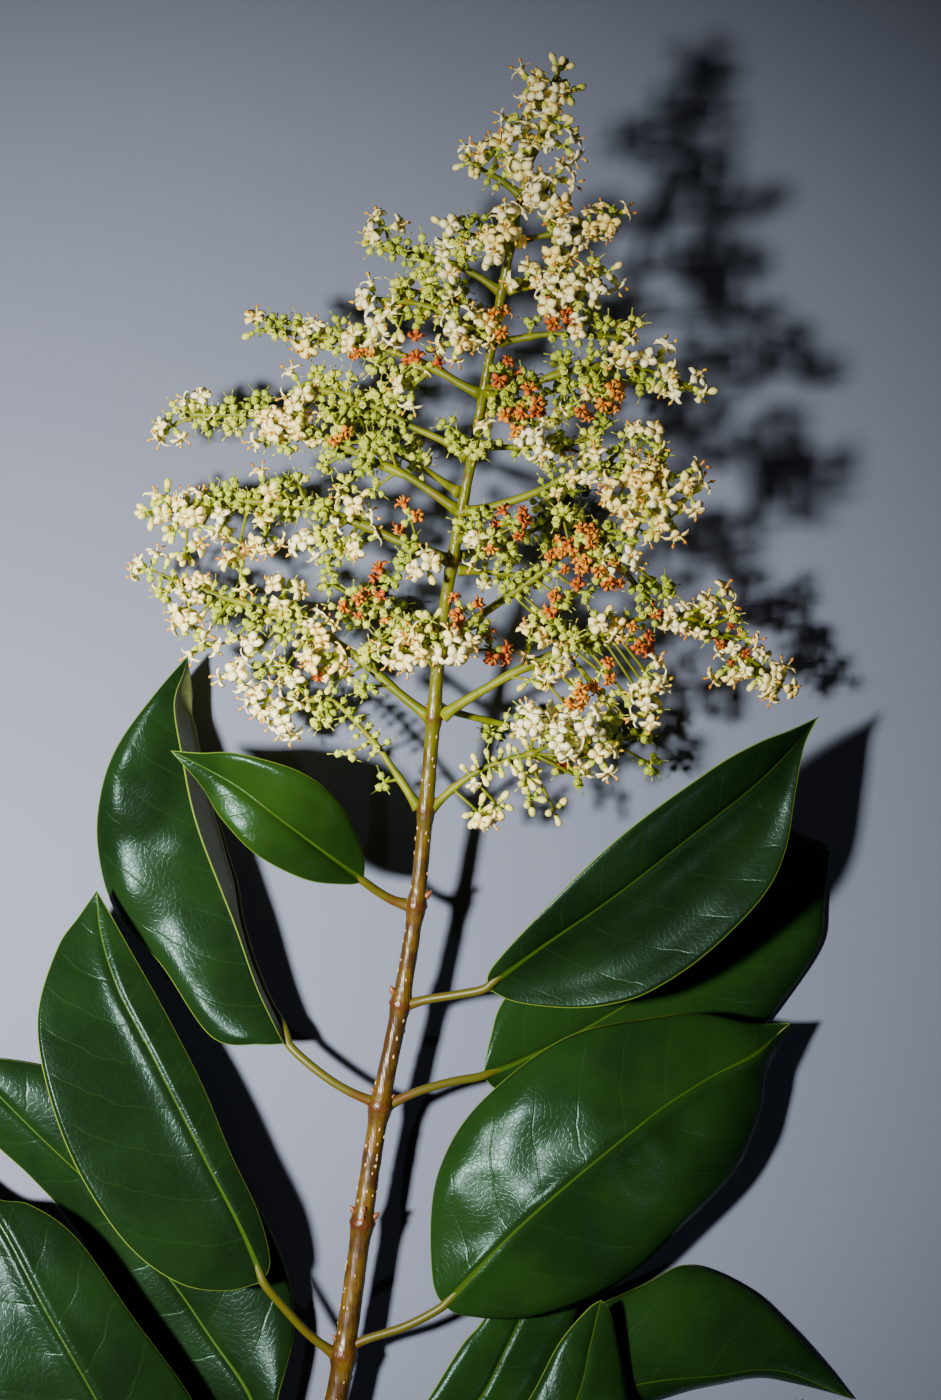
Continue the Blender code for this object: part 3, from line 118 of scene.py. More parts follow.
# Left and right are as seen when looking from the base to the tip, from above
LEAVES = {
    "leaf_upper_left": LeafShape(
        stalk=((-22.5, -101.2, 14.5), (-31, -97.5, 15), (-38.5, -92.5, 14.5)),
        midrib=((-45.5, -86, 13), (-55.5, -64, 9), (-60.5, -42, 7.5), (-67, -18, 7), (-69.5, 0, 8),
                (-70.8, 11, 9)),
        left=((-53, -86, 14), (-65, -84, 12.5), (-77.5, -66.2, 8), (-89, -53, 5), (-93.5, -37.5, 5),
              (-92.5, -23, 7.5), (-88, -11, 9), (-79, 1.5, 9.5)),
        right=((-47.5, -85, 15), (-54, -71, 17), (-62, -50, 19), (-68.5, -33, 20), (-72.5, -17, 18.5),
               (-74.5, -1.5, 14), (-72, 7, 10.5)),
    ),
    "leaf_small_left": LeafShape(
        stalk=((-15, -51.5, 18.3), (-19.5, -50, 19), (-23, -48, 20)),
        midrib=((-26.5, -45.5, 21.5), (-36, -38.5, 28.5), (-48, -29.5, 32), (-60, -20.5, 30.5),
                (-75, -12.6, 26)),
        left=((-31, -46.2, 25), (-41.2, -45, 30), (-53.5, -38.8, 31.5), (-62.5, -29.5, 30),
              (-67.5, -21.5, 28)),
        right=((-26.8, -38, 26), (-32.5, -26, 32.5), (-42.5, -18, 36), (-58, -13.4, 34), (-67.5, -13.2, 30)),
    ),
    "leaf_mid_left": LeafShape(
        stalk=((-33.5, -163.8, 11), (-40.5, -158.5, 14), (-46.5, -152, 17.2)),
        midrib=((-51.8, -145.5, 19.8), (-57.5, -132, 21.4), (-65, -117.5, 21), (-72, -103.8, 19.8),
                (-80, -88, 18), (-88, -72.5, 15.6), (-92.3, -58.8, 13.2), (-93.5, -47.5, 11.8)),
        left=((-61, -147.8, 20.5), (-73, -145.8, 22.5), (-86, -136, 23), (-98.5, -117, 22),
              (-106, -96.5, 20.2), (-108.3, -78.8, 17.8), (-103.5, -62.2, 14.6), (-98, -54, 12.6)),
        right=((-50, -140, 19.6), (-53, -128, 20.6), (-60, -113, 20), (-66.8, -96.5, 18.6),
               (-75.8, -78.8, 16.4), (-85.8, -61, 13.8), (-91.5, -50.8, 12.2)),
    ),
    "leaf_low_left": LeafShape(
        stalk=((-45.5, -236, 4.8), (-54, -232.5, 8), (-62, -227.5, 12.5)),
        midrib=((-68, -222, 16.5), (-78.5, -203, 19.5), (-93.5, -175, 19), (-106.5, -152, 16.8),
                (-117, -132, 13.5), (-127.5, -117, 9.5)),
        left=((-74, -223, 16.5), (-94, -213, 19.5), (-112, -190, 19.5), (-124, -160, 16.5),
              (-130.8, -135, 12.5)),
        right=((-65, -215, 15.5), (-64, -190, 17), (-69.5, -175, 17.3), (-84.5, -154, 16.6),
               (-98.5, -134.5, 14.8), (-110, -126.2, 13), (-118.5, -124.5, 11.5)),
    ),
    "leaf_behind_left": LeafShape(
        stalk=((-39.5, -197.8, 7.6), (-43, -194.5, 8.2), (-46.5, -191.5, 8.9)),
        midrib=((-50.5, -188.5, 9.4), (-55.5, -173.5, 8.8), (-65, -159.5, 6.6), (-75, -145, 4.8),
                (-92, -124.5, 3.8), (-111, -106, 3.2), (-126, -90.5, 1.6)),
        left=((-58, -190, 4.5), (-74, -176, 2.5), (-92.5, -143, 0.6), (-101.5, -129, 0.4),
              (-110.5, -119, 0.3), (-122, -107, 0.5)),
        right=((-48.3, -175, 12.4), (-44.2, -155, 10.4), (-49, -135, 7.4), (-62, -115, 5.2), (-82, -97, 4),
               (-106, -91.5, 2.4), (-119, -89.5, 1.5)),
    ),
    "leaf_upper_right": LeafShape(
        stalk=((-17, -76.5, 16.2), (-10.5, -74.8, 17.5), (-3, -73.6, 19.5)),
        midrib=((4, -72, 21.5), (17.5, -62, 25.5), (35.5, -49.5, 28.8), (53.5, -35.5, 30), (71.5, -21, 29),
                (80.5, -11.8, 27), (87, -4, 25)),
        left=((5.5, -66.5, 23.5), (17.5, -53.5, 30), (37.2, -34.5, 34.5), (59, -18.5, 35.5),
              (71.5, -11.2, 33.5), (79.5, -7.6, 29.5)),
        right=((11, -75.5, 21.8), (23, -77.2, 24.4), (33.8, -76.5, 26.6), (44.5, -73.2, 28.4),
               (58.5, -64, 29.6), (72.5, -50, 30.2), (78.8, -38, 29.6), (81.5, -22, 28), (83.5, -11, 26)),
    ),
    "leaf_behind_right": LeafShape(
        stalk=((-22, -102, 14.3), (-13.5, -98, 14.6), (-5, -95.5, 14)),
        midrib=((3, -94, 13), (13, -90, 12), (30, -81.5, 10.5), (50, -69, 8.5), (72, -52, 6),
                (90, -37.6, 2.5)),
        left=((5, -84.5, 13), (9, -74, 12), (24, -57, 10), (48, -41.5, 8), (70, -35.5, 6), (81, -34.8, 4)),
        right=((8, -98, 10.5), (26, -101.5, 6.5), (50, -95, 4.5), (68, -86.5, 3.5), (79.5, -74, 2.8),
               (87.5, -61, 2.4), (88.8, -50, 2.2)),
    ),
    "leaf_mid_right": LeafShape(
        stalk=((-33, -163.5, 11), (-26.5, -160, 11.8), (-16, -156.5, 13)),
        midrib=((-6.8, -151.5, 14.5), (2.2, -142, 18.2), (12, -132, 21.2), (23, -122.2, 23.4),
                (35.5, -111.8, 24.5), (47.2, -102.5, 23.6), (59, -94.8, 21), (71.5, -88, 17),
                (80, -80.8, 12.5)),
        left=((-9.5, -145, 14.2), (-10.2, -130, 14), (-8, -117, 14.2), (-1, -104, 15.5), (13, -91, 17.5),
              (27, -82.8, 18.5), (44, -79.5, 18), (58, -78.2, 16.2), (71, -80.8, 13)),
        right=((-1, -154, 14), (13, -155, 15), (27, -151.5, 15.5), (40.5, -144.5, 15.5), (53.5, -132, 15),
               (67.5, -117, 13), (73.5, -103.5, 11.5), (74.8, -93, 11)),
    ),
    "leaf_low_right": LeafShape(
        stalk=((-43, -216.2, 6), (-33, -211, 5.4), (-24, -205, 5)),
        midrib=((-15, -199, 5), (4, -187.5, 5.2), (23, -177.5, 5.6), (43, -171, 6.2), (62.5, -169, 6.6),
                (71.5, -167.6, 6.4), (80.5, -168.6, 5.2), (95.8, -175, 1.2)),
        left=((-14, -191, 4.4), (1, -172, 4), (23, -156, 3.6), (43.5, -146, 3.4), (54.8, -141.2, 3.2),
              (69.5, -147.2, 3.2), (79, -156, 3.4), (88, -166, 3)),
        right=((-13, -203.5, 4), (7, -194, 1.8), (27, -183, 0.8), (45, -176, 0.5), (58, -172, 0.4),
               (71, -169.5, 0.4), (81, -171, 0.4), (90, -173.2, 0.5)),
    ),
    "leaf_under_right": LeafShape(
        stalk=((-39, -198, 7.8), (-31.5, -194.5, 8.4), (-23.5, -191.5, 9)),
        midrib=((-16.2, -189.5, 9.4), (-6, -182.5, 9.8), (2.5, -174.5, 10), (9.5, -161, 10.2), (18, -144, 10),
                (28, -130, 9.4), (33, -118, 9)),
        left=((-16, -183, 10), (-10.5, -174.8, 10.6), (-2.2, -161.5, 10.8), (3.5, -154.5, 10.8),
              (12, -138, 10.6), (23, -123.5, 10)),
        right=((-10, -191.5, 7.6), (3, -189.5, 7.2), (14, -179.5, 7.4), (23.5, -162, 7.8), (30, -144, 8.2),
               (33.5, -129, 8.6)),
    ),
    "leaf_front_right": LeafShape(
        stalk=((-45.5, -234.8, 4.8), (-36, -232.5, 8), (-26, -230, 11)),
        midrib=((-17.5, -227.5, 13.5), (0, -215, 15), (15, -197.5, 15.5), (26.5, -175, 14.5),
                (30, -161, 12.8), (32.5, -150, 11.4)),
        left=((-19, -220, 14), (-7.5, -200, 13.6), (5, -187.5, 13), (14.5, -174.8, 12.8), (22, -161, 13.2),
              (29, -152.5, 12)),
        right=((-9, -233, 12), (17.5, -225, 10.8), (35, -205, 10.4), (41, -187.5, 10.4), (39.5, -174.5, 10.6),
               (37, -161.5, 10.8), (34.8, -152.5, 11)),
    ),
    "leaf_lowest_right": LeafShape(
        stalk=((-49, -249, 3.9), (-40, -249, 3.6), (-30, -247, 3.4)),
        midrib=((-22, -244.5, 3.2), (0, -230, 3), (32.5, -207.5, 2.8), (62, -187.5, 2.4),
                (81.5, -174.8, 2.6)),
        left=((-20, -238.5, 2.4), (-1, -216, 1.4), (30, -193, 0.4), (58, -182.5, 0.4), (76, -177, 1.4)),
        right=((-14, -247.5, 2.4), (14, -242, 1.6), (46, -218, 1.2), (70, -196, 0.5), (80.5, -181.5, 1.6)),
    ),
}


@dataclass(frozen=True)
class BranchShape:
    """One branch of the flower head.

    It has its route from the stem outward, its radius there, its clusters, and for each of them the letter of
    what it has come to.
    """

    route: tuple
    radius: float
    clusters: tuple
    kinds: str
    from_stem_end: bool = False


# A cluster is x, y, height and the radius of the ball that its flowers fill
BRANCHES = {
    "flowers_low_left": BranchShape(
        ((-13, -27, 21), (-19.5, -17, 19), (-24.5, -10.2, 18), (-34.5, -0.2, 16), (-42, -0.5, 15)),
        1,
        ((-46, -4, 16, 4.5), (-51, 0, 15, 4.2), (-43, 3, 14, 3.5), (-37.5, -5, 14, 3.2),
         (-31, -13.5, 15, 2.4), (-21.5, -20.5, 17, 2.2), (-36, -2, 7, 3.5)),
        "ooogggf",
    ),
    "flowers_low_right": BranchShape(
        ((-10.5, -28, 21.5), (-4.8, -22.5, 22.5), (1.5, -18, 24.5), (7.5, -15.5, 27), (17, -13, 31)),
        1,
        ((2, -28, 23, 4), (6.5, -26, 23, 3), (22.5, -10, 35, 5), (15, -6, 34, 4), (28, -5, 33, 3.4),
         (32, -14.5, 33, 3.6), (26.5, -19, 30, 3.4), (14, -19, 29, 4), (15, -24.5, 27, 3.2),
         (21, -27.5, 26, 2.6), (22, -16, 24, 4)),
        "yboooorbbbf",
    ),
    "flowers_second_left": BranchShape(
        ((-10, -4.5, 25), (-17, 1, 24), (-28.2, 10.5, 22.5), (-39.5, 18.5, 21.5), (-51, 22.5, 21),
         (-61, 25.5, 20), (-70.8, 28.8, 19.5), (-77, 31, 19)),
        1.2,
        ((-80, 32.5, 19, 3.8), (-76, 27, 18, 3), (-70.5, 23.5, 20, 3.8), (-70, 18.5, 20, 3.6),
         (-67.5, 14.5, 20, 3.2), (-62, 22, 19, 3.8), (-58.5, 15.5, 17, 3), (-54, 20, 22, 3.2),
         (-53, 12.5, 19, 3.2), (-57.5, 32, 21, 3.8), (-46.5, 27.5, 25, 4.2), (-45, 22, 25, 4.2),
         (-46.5, 16.5, 21, 3.2), (-52, 8, 17, 3.4), (-58.5, 6.5, 16, 3), (-46, 8.5, 16, 3),
         (-41, 15, 25, 3.2), (-36, 10, 24, 4), (-34, 5, 21, 3), (-25, 11.5, 28, 4.2), (-26.2, 3.2, 26, 4),
         (-50, 20, 12, 4), (-64, 25, 12, 3.5)),
        "ogooxgmgooogggogoxoggff",
    ),
    "flowers_second_right": BranchShape(
        ((-7, -4, 25), (-0.2, 0.5, 26.5), (11.2, 7, 29.5), (21, 11.5, 31.5), (30, 15.5, 33), (41.8, 20.2, 33),
         (52, 21.2, 31.5), (62.2, 16.5, 28), (70, 10, 25), (75, 6.5, 23)),
        1.2,
        ((77.5, 3.8, 22, 3.4), (72, 5.8, 23, 3.8), (64.5, 8.2, 23, 3.2), (67.5, 15.5, 27, 3.2),
         (65, 20.5, 27, 3), (61.2, 25.5, 30, 3.2), (57, 22.5, 31, 3.2), (15, 15, 33, 3.8), (20, 9.5, 33, 3.8),
         (15, 5, 31, 3.8), (26.2, 3, 32, 3.8), (23.8, -1, 31, 3), (32.5, 7, 31, 3), (33.8, 0.5, 28, 3.6),
         (38.8, 1.2, 29, 3), (43.8, 7, 33, 3.8), (44.8, 2, 32, 3.6), (45, -2.8, 31, 3.2), (41.5, 15, 33, 2.8),
         (32.5, 20, 36, 4), (25, 15, 35, 4.2), (36, -4, 26, 2.6), (30, 14, 24, 4), (55, 18, 25, 3)),
        "oyyxgooooororggoooroggff",
    ),
    "flowers_thick_right": BranchShape(
        ((-7.5, 13.8, 28.8), (4, 22.2, 33), (12.5, 28, 37), (19.5, 33.2, 40), (27, 39.5, 43.5), (33, 43, 45)),
        1.25,
        ((22.5, 25.5, 41, 4.4), (28, 27, 41, 3.4), (30.5, 35, 46, 3.8), (33, 31, 44, 3.4), (27.5, 40, 47, 3),
         (37.5, 35, 45, 4), (38.8, 40, 46, 3.4), (42, 42.8, 46, 3), (34, 42, 44, 3.6), (23, 46, 42, 4),
         (42.5, 28, 38, 4), (48, 28, 36, 3.8), (45, 23.8, 35, 2.8), (21, 19, 38, 3.2), (16.5, 21, 37, 3),
         (32, 36, 34, 4)),
        "rrrrrogogggggggf",
    ),
    "flowers_short_left": BranchShape(
        ((-7.8, 13, 28.6), (-17.8, 20.5, 27), (-24.5, 23.8, 26), (-29, 25.5, 25.5)),
        0.9,
        ((-28.5, 25.5, 27.5, 3.2), (-32.5, 23, 25, 2.8), (-35, 29, 21, 3.6), (-27, 21, 19, 3.4)),
        "rggf",
    ),
    "flowers_third_left": BranchShape(
        ((-4.6, 34.5, 34.3), (-9, 36.5, 33.4), (-17.5, 39.5, 32), (-25, 43, 30.5), (-37.5, 47.5, 28),
         (-47.2, 49.2, 26), (-57, 49.6, 24), (-67.5, 48.8, 22.5), (-75, 47, 21.5)),
        1.15,
        ((-79.5, 47, 21, 3.8), (-76, 50.5, 21, 3), (-73.8, 43, 20, 3.2), (-70, 47.5, 24, 3.6),
         (-66.8, 43.5, 22, 3.2), (-61.5, 44, 22, 3.2), (-63.8, 51, 22, 3.6), (-59.5, 53, 22, 3),
         (-56, 50.5, 24, 3), (-51, 46.5, 24, 3.4), (-51.2, 41.2, 23, 4), (-47.5, 53, 26, 4),
         (-43, 54, 24, 3.6), (-51.5, 53.5, 25, 2.6), (-36.2, 48, 30, 3.2), (-36.2, 41, 31, 4.4),
         (-31.5, 38, 29, 3.8), (-41, 39, 28, 3), (-30, 45.5, 32, 3.8), (-28.8, 49.5, 32, 3),
         (-26.5, 39.5, 31, 3), (-35.5, 34, 27, 3.6), (-57.5, 39, 18, 3.2), (-71.2, 37, 19, 3.4),
         (-15, 45.5, 35, 2.6), (-15, 39, 36, 3), (-16.2, 34.5, 35, 3.4), (-10.8, 33, 38, 3.6),
         (-20, 30, 34, 3.4), (-45, 47, 17, 4)),
        "ybbooxggggoggogggxooogoyrggorf",
    ),
    "flowers_third_right": BranchShape(
        ((-3, 32.5, 34), (5.8, 31.8, 34.5), (12.5, 31, 35)),
        0.9,
        ((15.5, 30, 34, 2.6), (9, 29.5, 31, 3)),
        "gg",
    ),
    "flowers_fourth_left": BranchShape(
        ((-3.2, 47.5, 37.6), (-10, 52.2, 36), (-16.2, 56.2, 34.5), (-23.8, 59.5, 32.5), (-30, 62.5, 30.5),
         (-38.2, 67, 28), (-46, 69.8, 26), (-56, 71.2, 23.5), (-66, 71.3, 21.5), (-71.5, 71.2, 20.5)),
        1.1,
        ((-74.5, 68.5, 20, 3), (-73.5, 72.5, 20, 3), (-67.5, 74, 22, 3), (-65.5, 69, 21, 3),
         (-59.5, 73.5, 22, 3), (-59, 68.5, 22, 3), (-52, 75, 23, 3.2), (-46.2, 69, 27, 3.6),
         (-50, 66, 25, 3.6), (-46.2, 63.5, 24, 3), (-36, 59, 28, 3), (-31, 54, 29, 3.6), (-24.5, 64, 36, 4.6),
         (-26.2, 58.5, 35, 4), (-20.5, 64.5, 36, 3.4), (-23.8, 53, 32, 2.8), (-40, 66, 18, 3.6)),
        "xmoggggoxgggggggf",
    ),
    "flowers_fourth_right": BranchShape(
        ((-3.5, 46.8, 37.4), (5, 48.2, 40), (12.5, 50.5, 43), (18.2, 52.8, 46), (24.8, 56.2, 49),
         (32.8, 58.8, 51.5), (42, 56.5, 53), (49, 53, 54)),
        1.2,
        ((32.5, 57.5, 56, 3.4), (38.8, 57.5, 56.5, 3.8), (44.5, 54.5, 56.5, 3.8), (52.5, 56.2, 56, 3.8),
         (55, 51, 55, 3.6), (48, 50, 57, 3.8), (38, 50.5, 55, 3.6), (43.8, 48.5, 56, 4), (50, 45.5, 54, 3.8),
         (45.5, 44, 53, 3.4), (37, 62, 53, 3), (43.8, 65, 53, 3.6), (39.8, 66, 51, 3), (46.5, 61.5, 52, 3.4),
         (46, 54, 45, 4)),
        "ooooobooobgoggf",
    ),
    "flowers_fifth_left": BranchShape(
        ((-0.8, 60.8, 41), (-7.2, 65, 39.5), (-15, 68.5, 37.5), (-21.5, 72.2, 35.5), (-30, 75.8, 33),
         (-38, 77.6, 31)),
        1,
        ((-42.5, 78.5, 30, 3.8), (-41.5, 73, 30, 3.6), (-38, 81, 30, 3), (-34, 79.8, 32, 3.2),
         (-35, 72.5, 31, 3.6), (-33.5, 68.8, 32, 2.8), (-30, 73, 34, 3), (-30.8, 79.5, 32, 2.8),
         (-22.5, 76.5, 37, 3.6), (-18.8, 75, 38, 3), (-28, 74, 25, 3.6)),
        "oogggrggggf",
    ),
    "flowers_fifth_right": BranchShape(
        ((1.2, 63.2, 41.8), (8, 63.2, 43), (17.2, 63, 44.5), (25, 63.2, 46)),
        0.8,
        ((30, 65.5, 47.5, 3.4), (33, 68.5, 47, 2.8), (22.5, 65, 47, 2.4), (28.5, 61.5, 46.5, 2.6),
         (17.5, 59.5, 45, 2), (22, 64.5, 38, 3.2)),
        "gggggf",
    ),
    "flowers_sixth_left": BranchShape(
        ((2.5, 76.5, 45), (-2.5, 79, 44), (-8.2, 82.5, 42.5), (-13.8, 85, 41), (-18.8, 86.8, 40),
         (-25, 88.8, 38.5), (-33, 90.2, 36.5), (-42.5, 91.4, 34), (-50, 92.6, 32.5)),
        1,
        ((-53, 92.5, 32, 2.6), (-48.5, 94.2, 33, 3.6), (-42, 94, 33, 2.8), (-39.5, 90, 35, 3.2),
         (-35, 88.8, 36, 3), (-33, 93.8, 36, 2.4), (-27.5, 89, 38, 3), (-23.5, 84, 38, 3.4),
         (-17.5, 81.2, 40, 3.8), (-14.5, 78.2, 42, 3.4), (-12.2, 83, 43, 2.8), (-8.5, 86.5, 42, 2.8),
         (-26, 88, 30, 3.4)),
        "yggoggxggorgf",
    ),
    "flowers_sixth_right": BranchShape(
        ((4, 77.5, 45.6), (10, 78, 47), (15.5, 79.2, 48), (24, 82, 50), (33.8, 83.6, 51), (42.5, 82.8, 51.5),
         (51.2, 79.8, 51)),
        1,
        ((57.5, 76.8, 50, 1.9), (54.5, 78.8, 51, 3), (48.5, 80.8, 53, 3), (46.2, 84.8, 53, 3.2),
         (42.5, 79.5, 50, 3.2), (30, 79, 52, 3.6), (33.8, 76.5, 52, 3.6), (26.8, 74.5, 51, 3),
         (23.8, 78.8, 50, 2.6), (23, 85, 50, 3), (30, 85.8, 52, 2.4), (33.8, 80.5, 43, 3.6)),
        "boyogmrxgggf",
    ),
    "flowers_seventh_left": BranchShape(
        ((5.5, 90, 48.4), (-1.2, 93.6, 47), (-7.5, 97, 46), (-13.8, 99.2, 45), (-20, 100.2, 44)),
        0.9,
        ((-21.2, 96.2, 45, 3.8), (-25.5, 93.5, 44, 3.2), (-18, 93, 45, 3.2), (-23.8, 100.5, 44, 3.4),
         (-17.5, 103, 44, 3), (-13.4, 95.5, 47, 2.6), (-9.5, 101.5, 46, 2.8), (-17, 98.5, 37, 3.2)),
        "oooogrgf",
    ),
    "flowers_seventh_right": BranchShape(
        ((7, 89.4, 48.6), (12.5, 90.4, 49.5), (18.8, 91.4, 51), (26.2, 91.4, 52), (33.8, 91, 53),
         (39, 90, 53)),
        0.85,
        ((15.8, 94, 51, 2.2), (33.8, 93.6, 53, 2.4), (40.5, 93.5, 53, 3.2), (38, 88, 55, 3.2),
         (31, 95, 51, 2.6), (34, 91.5, 46, 3)),
        "gggogf",
    ),
    "flowers_eighth_left": BranchShape(
        ((7.4, 102.2, 51), (1.8, 106, 50.2), (-3.8, 108.8, 49.5), (-9.5, 110.5, 49), (-16.5, 111.7, 48),
         (-21.5, 112.8, 47.5)),
        0.85,
        ((-24, 114, 47, 3.6), (-18.8, 113.5, 49, 2.6), (-21.2, 117.8, 48, 2.8), (-12, 113.5, 50, 2.2),
         (-12.5, 107.5, 49, 2.2), (-7, 105.6, 50, 3.4), (-10.5, 103.8, 49, 2.6), (-1.2, 110, 51, 3),
         (-14, 110.5, 41, 3)),
        "mgoggoggf",
    ),
    "flowers_eighth_right": BranchShape(
        ((9.6, 102.6, 51.2), (12.5, 103.2, 52.5), (17, 104, 54), (21.8, 104.5, 55), (28.5, 103.8, 56)),
        0.85,
        ((14, 105.2, 55.5, 3.2), (22.5, 108.8, 56.5, 3.6), (25.5, 104.8, 58.5, 3.4), (21.2, 100.2, 57, 3.6),
         (26.5, 99.8, 57, 3.4), (31, 102, 58, 3.4), (30, 108, 56.5, 3.6), (34.2, 107, 56.5, 3),
         (22.5, 96.4, 55, 2.8), (30, 97.2, 54, 2.6), (24, 103, 48, 3.2)),
        "omooxygbrgf",
    ),
    "flowers_ninth_left": BranchShape(
        ((11, 116, 54), (3.5, 116, 53.4), (-2, 116, 53)),
        0.7,
        ((-1.2, 118.2, 54, 3.2), (-2.5, 113.4, 54, 3.2), (-6, 118.4, 54, 3.2), (2.4, 119.6, 53, 2.4)),
        "ggog",
    ),
    "flowers_ninth_right": BranchShape(
        ((11.2, 114.6, 54.2), (18.8, 116.2, 56), (23.8, 117.6, 57), (30, 118.6, 58), (34, 119.6, 58.5)),
        0.7,
        ((35.2, 121, 59, 2.8), (25, 116.2, 59, 3.2), (20.8, 119.6, 57.5, 2.2), (22, 113.4, 57, 2.6),
         (28, 118, 52, 2.6)),
        "oogxf",
    ),
    "flowers_tenth_left": BranchShape(
        ((12.2, 126.4, 56.6), (7.5, 130, 57), (3.8, 132, 57), (1, 134, 57)),
        0.7,
        ((0, 134.4, 57, 3.4), (6.6, 136.2, 58.5, 3.6), (9.6, 133.2, 58, 2.2)),
        "yog",
    ),
    "flowers_tenth_right": BranchShape(
        ((12.8, 125.4, 56.4), (16, 125.8, 57.5), (19, 126.8, 59)),
        0.7,
        ((18, 126.4, 61, 3.4), (20.8, 124.6, 60, 3.2), (21, 130.4, 60.5, 3.2)),
        "ooy",
    ),
    "flowers_tip": BranchShape(
        ((13.1, 128.5, 57.12), (15, 134.5, 58), (18, 142.5, 59), (19, 148.8, 60), (21.5, 156, 61)),
        0.8,
        ((13.8, 134.4, 61, 3.2), (12.5, 145, 61, 3.8), (13, 139.6, 61, 3.2), (18.8, 151, 61.5, 3.8),
         (15, 154, 61, 3.4), (22, 157, 61, 3.6), (24, 152, 61, 3), (20.4, 145.2, 61, 3),
         (23.4, 143.4, 61, 2.2), (23, 138.6, 60, 3), (16.5, 140, 54, 2.8)),
        "ooooobbbbof",
        from_stem_end=True,
    ),
    "flowers_front_low": BranchShape(
        ((-8, 10.5, 28), (-9, 12, 36), (-9.8, 14.5, 44)),
        0.9,
        ((-10, 15, 49, 4.8), (-14.5, 11.2, 47, 3.8), (-18.5, 12.8, 44, 3.4), (-5.4, 13, 48, 3.8),
         (-16.6, 17, 44, 3.2), (-9.6, 19.8, 47, 3), (-1.4, 15.4, 45, 3.4), (2, 18.4, 42, 3.4),
         (5.2, 12.6, 39, 3), (-1.8, 22.6, 43, 2.4)),
        "oooogbxgrr",
    ),
    "flowers_front_middle": BranchShape(
        ((-3.4, 40, 35.6), (0, 41.2, 39), (4, 41.6, 41.5)),
        0.8,
        ((9.2, 37.4, 40.5, 3.4), (10.4, 44.2, 42.5, 3.4), (5.4, 41, 43.5, 2.8), (2, 37, 41.5, 2.8),
         (2.2, 45.8, 42.5, 3.4), (-2, 43.6, 42.5, 2.6)),
        "grrogg",
    ),
    "flowers_front_high": BranchShape(
        ((1, 63.6, 41.9), (0.6, 64.4, 45), (0.2, 64.6, 48)),
        0.7,
        ((1.4, 62.6, 50, 3.2), (5, 64.6, 49, 2.8), (-3.6, 64.2, 49, 3.4), (-5.4, 68.4, 48, 3)),
        "gxgg",
    ),
    "flowers_front_hanging": BranchShape(
        ((3.4, 77, 45.4), (6, 76, 48.5), (10.5, 73.8, 51.5), (16.2, 68.4, 53), (19.5, 61.5, 53),
         (21.5, 57, 53.5)),
        0.9,
        ((7.5, 82, 53, 3.2), (8.8, 77.4, 53, 3.4), (6.4, 73.6, 51.5, 3), (11.8, 79, 53, 2.4),
         (14.6, 74.2, 54.5, 3), (12, 69.4, 54, 3.2), (15.4, 65.2, 54.5, 3.4), (19.8, 70.4, 53, 2.8)),
        "rgggrrxg",
    ),
    "flowers_front_seventh": BranchShape(
        ((5, 90.4, 49.2), (3, 91, 51.5), (0.5, 92, 53)),
        0.7,
        ((-2.5, 94, 54, 4), (1.6, 92.6, 54.5, 3.2), (-3.8, 89.2, 53, 3.2), (6.4, 94, 54, 2.4)),
        "ooor",
    ),
    "flowers_front_ninth": BranchShape(
        ((10.4, 114, 54.8), (9.4, 114.6, 57), (8.2, 115, 58.5)),
        0.7,
        ((7.5, 115.4, 61, 4), (4.2, 112.2, 60, 3.2), (9.2, 119.4, 60, 2.8)),
        "ooo",
    ),
    "flowers_back_low_right": BranchShape(
        ((-9, -1, 24.6), (-4, -3, 18), (8, -6, 14), (25, -9, 13), (38, -11, 13)),
        1,
        ((42.5, -9, 13, 3.8), (45, -16, 12, 3.6), (30, -12, 9, 3.6), (14, -4, 8.5, 3.6), (22, -14, 4.1, 3.6),
         (34, -6, 4.1, 3.6), (5, -8, 6, 3.4)),
        "mgggggg",
    ),
    "flowers_back_low_left": BranchShape(
        ((-8.6, 9, 26.4), (-12, 12, 18), (-17, 17, 12), (-24, 24, 8)),
        1,
        ((-26, 27, 6, 3.8), (-19, 23, 6, 3.6), (-22, 15, 7, 3.6), (-13, 19, 4.1, 3.6), (-29, 20, 4.1, 3.6)),
        "ggggg",
    ),
    "flowers_back_middle_right": BranchShape(
        ((-3, 36, 33.4), (4, 38, 25), (12, 41, 17), (22, 45, 11)),
        1,
        ((26, 46, 8, 3.8), (18, 49, 8, 3.6), (20, 39, 9, 3.6), (12, 44, 9.5, 3.6), (28, 40, 4.1, 3.6),
         (24, 52, 4.1, 3.6), (10, 36, 11, 3.2)),
        "ggggggg",
    ),
    "flowers_back_middle_left": BranchShape(
        ((-3, 52, 38.2), (-9, 56, 29), (-17, 61, 20), (-27, 66, 12)),
        1,
        ((-31, 68, 9, 3.8), (-24, 70, 10, 3.6), (-26, 60, 9, 3.6), (-15, 64, 13, 3.6), (-34, 63, 4.1, 3.6),
         (-29, 74, 4.1, 3.6), (-12.5, 60, 24, 3.2)),
        "ggggggg",
    ),
    "flowers_back_high_right": BranchShape(
        ((3, 72, 43.8), (9, 74, 34), (16, 76, 26), (25, 78, 20)),
        0.9,
        ((29, 79, 18, 3.6), (23, 83, 19, 3.4), (24, 73, 18, 3.4), (14, 80, 23, 3.2), (33, 73, 20, 3.2)),
        "ggggg",
    ),
    "flowers_back_high_left": BranchShape(
        ((6.6, 95, 49.2), (1, 98, 40), (-6, 100, 33), (-13, 102, 28)),
        0.8,
